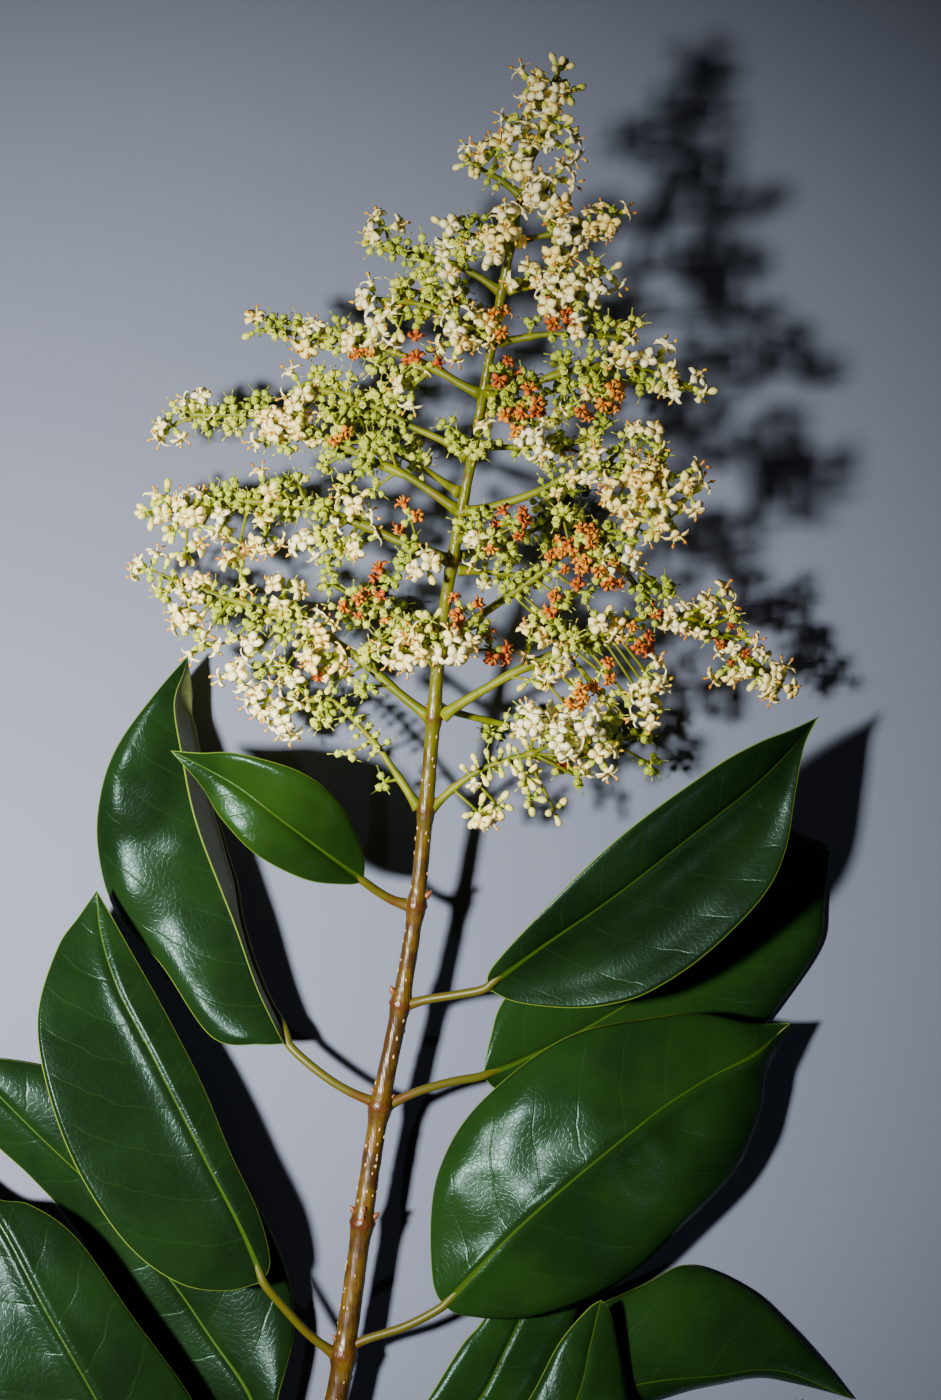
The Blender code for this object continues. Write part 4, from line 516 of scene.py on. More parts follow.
        ((-16, 103, 26, 3.4), (-11, 106, 27, 3.2), (-10, 98, 27, 3.2), (-3, 103, 32, 3)),
        "gggg",
    ),
}


class Bloom(Enum):
    """What the flowers of a cluster have come to, by the letter that the branch table gives."""

    OPEN = "o"
    CUP = "g"
    BUD = "b"
    RUST = "r"
    CUP_AND_OPEN = "m"
    RUST_AND_OPEN = "x"
    BUD_AND_OPEN = "y"
    FILLER = "f"


class Form(Enum):
    """The single flower shapes that the clusters are made of."""

    OPEN = "open_flowers"
    CUP = "green_cups"
    BUD = "flower_buds"
    RUST = "withered_flowers"


# For each cluster letter, how close its flowers stand and the share of each flower shape among them
MIXES = {
    Bloom.OPEN: (0.52, {Form.OPEN: 0.66, Form.BUD: 0.08, Form.CUP: 0.26}),
    Bloom.CUP: (1.0, {Form.CUP: 0.96, Form.OPEN: 0.02, Form.RUST: 0.02}),
    Bloom.BUD: (0.85, {Form.BUD: 0.85, Form.OPEN: 0.10, Form.CUP: 0.05}),
    Bloom.RUST: (0.80, {Form.RUST: 0.56, Form.CUP: 0.44}),
    Bloom.CUP_AND_OPEN: (0.80, {Form.CUP: 0.80, Form.OPEN: 0.20}),
    Bloom.RUST_AND_OPEN: (0.70, {Form.RUST: 0.28, Form.OPEN: 0.28, Form.CUP: 0.44}),
    Bloom.BUD_AND_OPEN: (0.75, {Form.OPEN: 0.45, Form.BUD: 0.50, Form.CUP: 0.05}),
    Bloom.FILLER: (0.80, {Form.CUP: 0.97, Form.OPEN: 0.02, Form.BUD: 0.01}),
}

# How large a flower shape is beside its drawn size
SCALES = {Form.OPEN: 1.24, Form.CUP: 1.04, Form.RUST: 1.22}


def true_place(x: float, y: float, z: float) -> np.ndarray:
    """Where something really is that is seen at x, y and lies z above the table.

    Args:
        x: Place to the right on the view plane, in millimetres.
        y: Place toward the tip on the view plane, in millimetres.
        z: Height above the table, in millimetres.

    Returns:
        The place in the part's own frame, in millimetres.
    """
    scale = (VIEW_HEIGHT - z) / (VIEW_HEIGHT - VIEW_PLANE)
    return np.array((x * scale - PLACE_OF_ORIGIN[0], y * scale - PLACE_OF_ORIGIN[1], z))


def true_places(points: tuple) -> list[np.ndarray]:
    """Where each of a table's points really is."""
    return [true_place(*point[:3]) for point in points]


def run_along(points: np.ndarray) -> np.ndarray:
    """How far along a route each of its points is."""
    return np.concatenate([[0.0], np.cumsum(np.linalg.norm(np.diff(points[:, :3], axis=0), axis=1))])


def smooth_route(points: np.ndarray, count: int, steps: int = 8) -> np.ndarray:
    """Evenly spaced points along a smooth curve through the given ones.

    Args:
        points: The points to pass through; columns after the third ride along.
        count: How many points to return.
        steps: How finely each span of the curve is followed.

    Returns:
        An array of count points with the same columns.
    """
    points = np.array(points, float)
    padded = np.vstack([2 * points[0] - points[1], points, 2 * points[-1] - points[-2]])
    curve = [points[0]]
    for p0, p1, p2, p3 in zip(padded, padded[1:], padded[2:], padded[3:]):
        for t in np.arange(1, steps + 1) / steps:
            bend = 2 * p0 - 5 * p1 + 4 * p2 - p3
            twist = 3 * p1 - p0 - 3 * p2 + p3
            curve.append(0.5 * (2 * p1 + (p2 - p0) * t + bend * t**2 + twist * t**3))
    curve = np.array(curve)
    along = run_along(curve)
    wanted = np.linspace(0.0, along[-1], count)
    return np.column_stack([np.interp(wanted, along, column) for column in curve.T])


def unit(vectors: np.ndarray) -> np.ndarray:
    """The same directions at length one, along the last axis."""
    return vectors / np.maximum(np.linalg.norm(vectors, axis=-1, keepdims=True), 1e-9)


def share_of(value: np.ndarray, start: float, length: float) -> np.ndarray:
    """How far a value is along a stretch, from 0 at its start to 1 at its end."""
    return np.clip((value - start) / length, 0, 1)


def hump(distance: np.ndarray, width: float) -> np.ndarray:
    """A smooth hump that is 1 at no distance and fades over its width."""
    return np.exp(-((distance / width) ** 2))


def directions(points: np.ndarray) -> np.ndarray:
    """The direction in which a route runs at each of its points."""
    return np.gradient(points[:, :3], axis=0)


def across(ahead: np.ndarray) -> tuple[np.ndarray, np.ndarray]:
    """Two directions at right angles to each given one and to each other.

    Args:
        ahead: Directions, one per row.

    Returns:
        The level direction to the right of each, and the one that points up from it.
    """
    ahead = unit(np.atleast_2d(ahead))
    side = np.cross(ahead, (0.0, 0.0, 1.0))
    steep = np.linalg.norm(side, axis=1) < STEEP
    side[steep] = np.cross(ahead[steep], (1.0, 0.0, 0.0))
    side = unit(side)
    return side, np.cross(side, ahead)


def mesh_of(name: str, bm: bmesh.types.BMesh) -> bpy.types.Mesh:
    """Turns a bmesh into a mesh.

    Args:
        name: The mesh's name.
        bm: The shape; it is freed here.

    Returns:
        The mesh.
    """
    mesh = bpy.data.meshes.new(name)
    bm.to_mesh(mesh)
    bm.free()
    return mesh


def in_scene(name: str, data: bpy.types.ID) -> bpy.types.Object:
    """Puts a new object in the scene.

    Args:
        name: Its name.
        data: Its mesh, light or camera.

    Returns:
        The object.
    """
    thing = bpy.data.objects.new(name, data)
    bpy.context.scene.collection.objects.link(thing)
    return thing


def new_piece(
    mesh: bpy.types.Mesh, materials: list[bpy.types.Material], slot: str, *nodes: str
) -> bpy.types.Object:
    """Puts a finished mesh in the scene as a piece that rides on the root body.

    Args:
        mesh: The mesh in metres, which has the piece's name.
        materials: The piece's materials, in the order of the faces' numbers.
        slot: Not used.
        *nodes: The CAD nodes that the piece stands for.

    Returns:
        The piece.
    """
    mesh.shade_smooth()
    for material in materials:
        mesh.materials.append(material)
    piece = in_scene(mesh.name, mesh)
    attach(piece, "root")
    if nodes:
        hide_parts(*nodes)
    LOG.info("%s: %d faces", mesh.name, len(mesh.polygons))
    return piece


def add_tube(
    bm: bmesh.types.BMesh, points: np.ndarray, radii: np.ndarray, sides: int, flat: float = 1.0
) -> list[list[bmesh.types.BMVert]]:
    """Draws a closed tube along the points by extruding a circle from one to the next.

    Args:
        bm: The bmesh that the tube joins.
        points: The points along its middle, in millimetres.
        radii: Its radius at each point, in millimetres.
        sides: How many sides it has.
        flat: Its height as a share of its width.

    Returns:
        The tube's rings of vertices, from its start to its end.
    """
    side, up = across(directions(points))
    start = bmesh.ops.create_circle(bm, segments=sides, radius=1.0, cap_ends=False)["verts"]
    angles = [math.atan2(v.co.y, v.co.x) for v in start]
    turned = np.column_stack([np.cos(angles), np.sin(angles)])
    rings = [start]
    for i, (point, radius) in enumerate(zip(points, radii)):
        if i:
            ring = set(rings[-1])
            edges = dict.fromkeys(e for v in rings[-1] for e in v.link_edges if ring.issuperset(e.verts))
            bmesh.ops.extrude_edge_only(bm, edges=list(edges))
            known = ring.union(rings[-2] if i > 1 else ())
            around = [[e.other_vert(v) for e in v.link_edges] for v in rings[-1]]
            rings.append([next(v for v in near if v not in known) for near in around])
        spots = point + (side[i] * turned[:, :1] + up[i] * turned[:, 1:] * flat) * radius
        for vert, spot in zip(rings[-1], spots):
            vert.co = spot * MM
    for ring in (rings[0], rings[-1]):
        bmesh.ops.contextual_create(bm, geom=ring)
    return rings


def mark_rings(layer: bmesh.types.BMLayerItem, rings: list[list], values: np.ndarray) -> None:
    """Gives each ring of a tube its value in a layer.

    Args:
        layer: The layer.
        rings: The tube's rings.
        values: A value for each.
    """
    for ring, value in zip(rings, values):
        for vert in ring:
            vert[layer] = value


def sockets_of(group: bpy.types.NodeTree, ins: dict[str, object], outs: tuple[str, ...]) -> None:
    """Gives a node group its named inputs with their values, and its named outputs.

    Args:
        group: The node group.
        ins: For each input its value: a number or a colour.
        outs: The outputs' names; the one that is named Color is a colour and the rest are numbers.
    """
    for name, value in ins.items():
        kind = "NodeSocketFloat" if isinstance(value, float) else "NodeSocketColor"
        group.interface.new_socket(name, in_out="INPUT", socket_type=kind).default_value = value
    for name in outs:
        kind = "NodeSocketColor" if name == "Color" else "NodeSocketFloat"
        group.interface.new_socket(name, in_out="OUTPUT", socket_type=kind)


class Wiring:
    """Short ways to add and join nodes in one node tree."""

    def __init__(self, tree: bpy.types.NodeTree) -> None:
        """Keeps the tree that the nodes go into."""
        self.tree = tree

    def node(self, kind: str, **settings: object) -> bpy.types.Node:
        """Adds a node.

        Args:
            kind: The node's type, after the word ShaderNode.
            **settings: Its properties.

        Returns:
            The node.
        """
        made = self.tree.nodes.new(kind if kind.startswith("NodeGroup") else "ShaderNode" + kind)
        for name, value in settings.items():
            setattr(made, name, value)
        return made

    def feed(self, node: bpy.types.Node, **inputs: object) -> bpy.types.Node:
        """Sets or joins a node's inputs by their names, with _ for a space.

        Args:
            node: The node.
            **inputs: A value, or the socket to join.

        Returns:
            The same node.
        """
        for name, value in inputs.items():
            socket = node.inputs[int(name[1:])] if name[1:].isdigit() else node.inputs[name.replace("_", " ")]
            if isinstance(value, bpy.types.NodeSocket):
                self.tree.links.new(value, socket)
            else:
                socket.default_value = value
        return node

    def use(self, group: bpy.types.NodeTree, **inputs: object) -> bpy.types.bpy_prop_collection:
        """Places a node group with its inputs, and gives its outputs."""
        return self.feed(self.node("Group", node_tree=group), **inputs).outputs

    def math(self, operation: str, *values: object) -> bpy.types.NodeSocket:
        """The result of a Math node on numbers or sockets."""
        node = self.node("Math", operation=operation)
        return self.feed(node, **{f"i{i}": value for i, value in enumerate(values)}).outputs[0]

    def ramp(self, value: object, low: object, high: object, *ends: float) -> bpy.types.NodeSocket:
        """Adds a smooth step from one value to another.

        Args:
            value: The socket that is read.
            low: Where the step starts.
            high: Where it ends.
            *ends: The results at its start and its end, unless they are 0 and 1.

        Returns:
            The socket with the result.
        """
        to_low, to_high = ends or (0.0, 1.0)
        node = self.node("MapRange", interpolation_type="SMOOTHSTEP")
        self.feed(node, Value=value, From_Min=low, From_Max=high, To_Min=to_low, To_Max=to_high)
        return node.outputs["Result"]

    def mix(self, share: object, first: object, second: object) -> bpy.types.NodeSocket:
        """The first colour mixed with a share of the second."""
        return self.feed(self.node("Mix", data_type="RGBA"), i0=share, i6=first, i7=second).outputs[2]

    def place(self) -> bpy.types.NodeSocket:
        """The place on the object itself."""
        return self.node("TexCoord").outputs["Object"]

    def mark(self, name: str) -> bpy.types.NodeSocket:
        """The number that the mesh holds under a name."""
        return self.node("Attribute", attribute_name=name).outputs["Fac"]

    def noise(self, scale: object, detail: float = 2.0, where: object = None) -> bpy.types.NodeSocket:
        """Adds a noise on the object's own places.

        Args:
            scale: Its scale, per metre.
            detail: How many finer layers it has.
            where: Another place to read it at.

        Returns:
            Its value, from about 0.3 to 0.7.
        """
        node = self.node("TexNoise", normalize=True)
        return self.feed(node, Vector=where or self.place(), Scale=scale, Detail=detail).outputs[0]

    def bump(self, strength: float, distance: float, height: object, invert: bool = False) -> object:
        """Adds a relief.

        Args:
            strength: How strong it is.
            distance: How deep it is, in metres.
            height: The socket with its height.
            invert: Whether it is pressed in instead of raised.

        Returns:
            The bent normal.
        """
        node = self.node("Bump", invert=invert)
        return self.feed(node, Strength=strength, Distance=distance, Height=height).outputs[0]


class Effects:
    """The node groups that more than one material uses, each built once."""

    def __init__(self) -> None:
        """Builds every group."""
        self.mottle = self._mottle()
        self.veins = self._veins()

    def _mottle(self) -> bpy.types.NodeTree:
        """A colour that drifts between two along a surface, with a few specks of a third.

        Returns:
            The node group.
        """
        group = bpy.data.node_groups.new("colour_drift", "ShaderNodeTree")
        colours = {name: (0.5, 0.5, 0.5, 1.0) for name in ("Main", "Second", "Speck")}
        numbers = {"Drift Scale": 60.0, "Speck Scale": 900.0, "Speck Share": 0.2}
        sockets_of(group, colours | numbers, ("Color",))
        w = Wiring(group)
        given = w.node("NodeGroupInput").outputs
        place = w.place()
        drift = w.ramp(w.noise(given["Drift Scale"], 3.0, place), 0.36, 0.64)
        fine = w.ramp(w.noise(given["Speck Scale"], 1.0, place), 0.58, 0.70)
        body = w.mix(drift, given["Main"], given["Second"])
        specks = w.math("MULTIPLY", fine, given["Speck Share"])
        w.feed(w.node("NodeGroupOutput"), Color=w.mix(specks, body, given["Speck"]))
        return group

    def _veins(self) -> bpy.types.NodeTree:
        """The midrib, the side veins and the margin of a leaf, read from its leaf_place attribute.

        Returns:
            The node group.
        """
        group = bpy.data.node_groups.new("leaf_veins", "ShaderNodeTree")
        widths = {"Rib Width": 0.55, "Margin Width": 0.35, "Vein Width": 0.05}
        sockets_of(group, widths, ("Rib", "Side Veins", "Margin", "Net", "Height"))
        w = Wiring(group)
        given = w.node("NodeGroupInput").outputs
        marks = w.node("Attribute", attribute_name="leaf_place").outputs["Vector"]
        from_rib, from_edge, phase = w.feed(w.node("SeparateXYZ"), Vector=marks).outputs
        inner_rib = w.math("MULTIPLY", given["Rib Width"], 0.5)
        rib = w.ramp(from_rib, inner_rib, given["Rib Width"], 1.0, 0.0)
        outer_margin = w.math("MULTIPLY", given["Margin Width"], 0.4)
        margin = w.ramp(from_edge, outer_margin, given["Margin Width"], 1.0, 0.0)
        wander = w.math("MULTIPLY_ADD", w.noise(160.0, 1.0), 0.22, -0.11)
        nearest = w.math("PINGPONG", w.math("ADD", phase, wander), 0.5)
        vein = w.ramp(nearest, 0.0, given["Vein Width"], 1.0, 0.0)
        fade = w.math("MULTIPLY", w.ramp(from_rib, 0.2, 1.0), w.ramp(from_edge, 0.8, 3.0))
        vein = w.math("MULTIPLY", vein, fade)
        cells = w.feed(w.node("TexVoronoi", feature="DISTANCE_TO_EDGE"), Vector=w.place(), Scale=700.0)
        net = w.ramp(cells.outputs["Distance"], 0.0, 0.12, 1.0, 0.0)
        height = w.math("MULTIPLY_ADD", vein, -0.45, w.math("MULTIPLY", net, -0.14))
        w.feed(w.node("NodeGroupOutput"), Rib=rib, Side_Veins=vein, Margin=margin, Net=net, Height=height)
        return group


def new_material(
    name: str, roughness: float, **surface: object
) -> tuple[bpy.types.Material, Wiring, bpy.types.Node]:
    """A material with a Principled shader.

    Args:
        name: The material's name.
        roughness: Its roughness.
        **surface: Other inputs of the shader, with _ for a space.

    Returns:
        The material, its wiring and its shader node.
    """
    material = bpy.data.materials.new(name)
    material.use_nodes = True
    wiring = Wiring(material.node_tree)
    shader = material.node_tree.nodes["Principled BSDF"]
    wiring.feed(shader, Roughness=roughness, **surface)
    return material, wiring, shader


def rgb(red: float, green: float, blue: float) -> tuple[float, float, float, float]:
    """A linear colour from one given as screen values from 0 to 255."""
    shares = (red / 255, green / 255, blue / 255)
    return (*(((s + 0.055) / 1.055) ** 2.4 if s > 10 / 255 else s / 12.92 for s in shares), 1.0)


@dataclass(frozen=True)
class LeafTopFinish:
    """The glossy dark upper face of a leaf."""

    name: str = "leaf_top"
    deep: tuple = rgb(11, 26, 9)
    fresh: tuple = rgb(16, 35, 12)
    rib: tuple = rgb(47, 70, 16)
    vein: tuple = rgb(30, 58, 21)
    margin: tuple = rgb(93, 114, 39)
    roughness: float = 0.22
    gloss: float = 0.088
    sheen: tuple = (0.56, 0.90, 0.86, 1.0)

    def make(self, effects: Effects) -> bpy.types.Material:
        """Builds the material.

        Args:
            effects: The shared node groups.

        Returns:
            The material.
        """
        material, w, shader = new_material(
            self.name, self.roughness, IOR=1.38, Specular_IOR_Level=self.gloss, Specular_Tint=self.sheen
        )
        veins = w.use(effects.veins, Rib_Width=1.0, Margin_Width=0.30, Vein_Width=0.035)
        tones = {"Main": self.deep, "Second": self.fresh, "Speck": self.vein}
        body = w.use(effects.mottle, Drift_Scale=38.0, Speck_Scale=700.0, Speck_Share=0.05, **tones)
        colour = w.mix(w.math("MULTIPLY", veins["Net"], 0.05), body["Color"], self.vein)
        colour = w.mix(w.math("MULTIPLY", veins["Side Veins"], 0.20), colour, self.vein)
        colour = w.mix(veins["Rib"], colour, self.rib)
        colour = w.mix(veins["Margin"], colour, self.margin)
        cuticle = w.math("MULTIPLY_ADD", w.noise(650.0, 3.0), 0.22, veins["Height"])
        rough = w.math("MULTIPLY_ADD", w.noise(500.0), 0.10, self.roughness - 0.05)
        w.feed(shader, Base_Color=colour, Roughness=rough, Normal=w.bump(0.20, 0.0004, cuticle))
        return material


@dataclass(frozen=True)
class LeafUnderFinish:
    """The pale olive lower face of a leaf."""

    main: tuple = rgb(76, 86, 46)
    second: tuple = rgb(88, 98, 52)
    rib: tuple = rgb(124, 134, 72)

    def make(self, effects: Effects) -> bpy.types.Material:
        """Builds the material.

        Args:
            effects: The shared node groups.

        Returns:
            The material.
        """
        material, w, shader = new_material("leaf_under", 0.45)
        veins = w.use(effects.veins, Rib_Width=1.1, Margin_Width=0.36, Vein_Width=0.04)
        body = w.use(effects.mottle, Main=self.main, Second=self.second, Speck=self.rib)["Color"]
        lines = w.math("MAXIMUM", veins["Rib"], w.math("MULTIPLY", veins["Side Veins"], 0.4))
        colour = w.mix(w.math("MAXIMUM", lines, veins["Margin"]), body, self.rib)
        w.feed(shader, Base_Color=colour, Normal=w.bump(0.3, 0.0005, veins["Height"], invert=True))
        return material


@dataclass(frozen=True)
class StalkFinish:
    """A leaf stalk and its rib, reddish at the stem and pale green farther out.

    The turns are where one colour goes over into the next, in millimetres from the stem.
    """

    root: tuple = rgb(81, 49, 9)
    middle: tuple = rgb(74, 71, 12)
    far: tuple = rgb(68, 82, 18)
    fleck: tuple = rgb(84, 44, 23)
    first_turn: tuple = (3.0, 14.0)
    second_turn: tuple = (15.0, 60.0)

    def make(self, effects: Effects) -> bpy.types.Material:
        """Builds the material.

        Args:
            effects: The shared node groups.

        Returns:
            The material.
        """
        material, w, shader = new_material("leaf_stalk", 0.42, Specular_IOR_Level=0.28)
        along = w.mark("from_stem")
        tones = {"Main": self.root, "Second": self.middle, "Speck": self.fleck}
        near = w.use(effects.mottle, Drift_Scale=150.0, Speck_Scale=1500.0, Speck_Share=0.3, **tones)["Color"]
        colour = w.mix(w.ramp(along, *self.first_turn), near, self.middle)
        w.feed(shader, Base_Color=w.mix(w.ramp(along, *self.second_turn), colour, self.far))
        return material


@dataclass(frozen=True)
class BarkFinish:
    """The stem's bark: glossy ochre brown that turns yellow-green toward the flowers."""

    brown: tuple = rgb(56, 37, 10)
    ochre: tuple = rgb(86, 65, 13)
    green: tuple = rgb(96, 102, 7)
    red: tuple = rgb(74, 32, 12)
    turns_green: tuple = (0.0, 0.085)

    def make(self, effects: Effects) -> bpy.types.Material:
        """Builds the material.

        Args:
            effects: The shared node groups.

        Returns:
            The material.
        """
        material, w, shader = new_material("stem_bark", 0.30, Specular_IOR_Level=0.36)
        tones = {"Main": self.brown, "Second": self.ochre, "Speck": self.red}
        bark = w.use(effects.mottle, Drift_Scale=150.0, Speck_Scale=800.0, Speck_Share=0.5, **tones)["Color"]
        place = w.place()
        up_the_stem = w.feed(w.node("SeparateXYZ"), Vector=place).outputs["Y"]
        fresh = w.mix(w.ramp(w.noise(220.0), 0.50, 0.72), self.green, self.ochre)
        colour = w.mix(w.ramp(up_the_stem, *self.turns_green), bark, fresh)
        colour = w.mix(w.math("MULTIPLY", w.mark("collar"), 0.70), colour, self.red)
        stretched = w.feed(w.node("Mapping"), Vector=place, Scale=(1.0, 0.12, 1.0)).outputs[0]
        w.feed(shader, Base_Color=colour, Normal=w.bump(0.5, 0.0004, w.noise(1500.0, 2.0, stretched)))
        return material


@dataclass(frozen=True)
class TwigFinish:
    """The flower head's limbs and twigs: yellow-green with ochre flecks."""

    main: tuple = rgb(87, 95, 2)
    second: tuple = rgb(116, 122, 8)
    fleck: tuple = rgb(112, 92, 12)

    def make(self, effects: Effects) -> bpy.types.Material:
        """Builds the material.

        Args:
            effects: The shared node groups.

        Returns:
            The material.
        """
        material, w, shader = new_material("flower_twig", 0.46, Specular_IOR_Level=0.25)
        tones = {"Main": self.main, "Second": self.second, "Speck": self.fleck}
        body = w.use(effects.mottle, Drift_Scale=140.0, Speck_Scale=420.0, Speck_Share=0.5, **tones)
        w.feed(shader, Base_Color=body["Color"])
        return material


@dataclass(frozen=True)
class PlainFinish:
    """One plain colour, as small parts have."""

    name: str
    colour: tuple
    roughness: float = 0.5

    def make(self) -> bpy.types.Material:
        """Builds the material."""
        return new_material(self.name, self.roughness, Base_Color=self.colour)[0]


@dataclass
class Template:
    """A small shape that is repeated: its points, its faces and their material numbers."""

    points: np.ndarray
    faces: list
    numbers: np.ndarray

    @classmethod
    def from_shape(cls, *parts: list[Draw]) -> "Template":
        """Takes the shape that the given functions draw, one after the other, in millimetres.

        Args:
            *parts: For each material number how its faces are drawn.

        Returns:
            The template.
        """
        bm = bmesh.new()
        for number, draws in enumerate(parts):
            before = set(bm.faces)
            for draw, *values in draws:
                draw(bm, *values)
            for face in set(bm.faces) - before:
                face.material_index = number
        bmesh.ops.recalc_face_normals(bm, faces=bm.faces[:])
        bm.verts.index_update()
        points = np.array([v.co[:] for v in bm.verts])
        faces = [tuple(v.index for v in face.verts) for face in bm.faces]
        numbers = np.array([face.material_index for face in bm.faces])
        bm.free()
        return cls(points, faces, numbers)


def joined(
    name: str,
    template: Template,
    copies: tuple[np.ndarray, np.ndarray, np.ndarray],
    materials: list[bpy.types.Material],
    slot: str,
    *nodes: str,
    tones: np.ndarray | int = 0,
    tone_count: int = 1,
) -> bpy.types.Object:
    """slot: Passed on to new_piece, which does not use it. The record's material slot.
        *nodes: The CAD nodes that the piece stands for.
        tones: The tone of each copy.
        tone_count: How many tones each number of the template has.

    Returns:
        The piece.
    """
    spots, turns, sizes = (np.array(column, float) for column in copies)
    count = len(spots)
    local = template.points[None] * sizes.reshape(count, 1, -1)
    places = (np.einsum("kij,knj->kni", turns, local) + spots[:, None, :]) * MM
    each = len(template.points)
    loops = np.concatenate([np.array(face) for face in template.faces])
    lengths = np.array([len(face) for face in template.faces])
    corners = (loops[None, :] + (np.arange(count) * each)[:, None]).ravel()
    starts = np.concatenate([[0], np.cumsum(np.tile(lengths, count))[:-1]])
    numbers = template.numbers[None, :] * tone_count + np.broadcast_to(tones, count)[:, None]
    mesh = bpy.data.meshes.new(name)
    mesh.vertices.add(count * each)
    mesh.vertices.foreach_set("co", places.astype(np.float32).ravel())
    mesh.loops.add(len(corners))
    mesh.loops.foreach_set("vertex_index", corners.astype(np.int32))
    mesh.polygons.add(len(starts))
    mesh.polygons.foreach_set("loop_start", starts.astype(np.int32))
    mesh.polygons.foreach_set("material_index", numbers.ravel().astype(np.int32))
    mesh.update(calc_edges=True)
    mesh.validate()
    return new_piece(mesh, materials, slot, *nodes)


# Where a blade's form departs from the rest
LEAF_FORMS = {
    "leaf_upper_left": {"bulges": (0.055, 0.03), "pucker": 0.62},
    "leaf_small_left": {"pucker": 0.30},
    "leaf_mid_left": {"bulges": (0.0, 0.05), "ridge": 1.0, "edge_roll": 0.008},
    "leaf_low_left": {"bulges": (0.0, 0.05), "ridge": 1.0, "edge_roll": 0.015},
    "leaf_upper_right": {"bulges": (0.05, -0.16)},
    "leaf_mid_right": {"bulges": (0.02, 0.05), "ridge": 0.9, "pucker": 0.75},
    "leaf_front_right": {"pucker": 0.30},
}


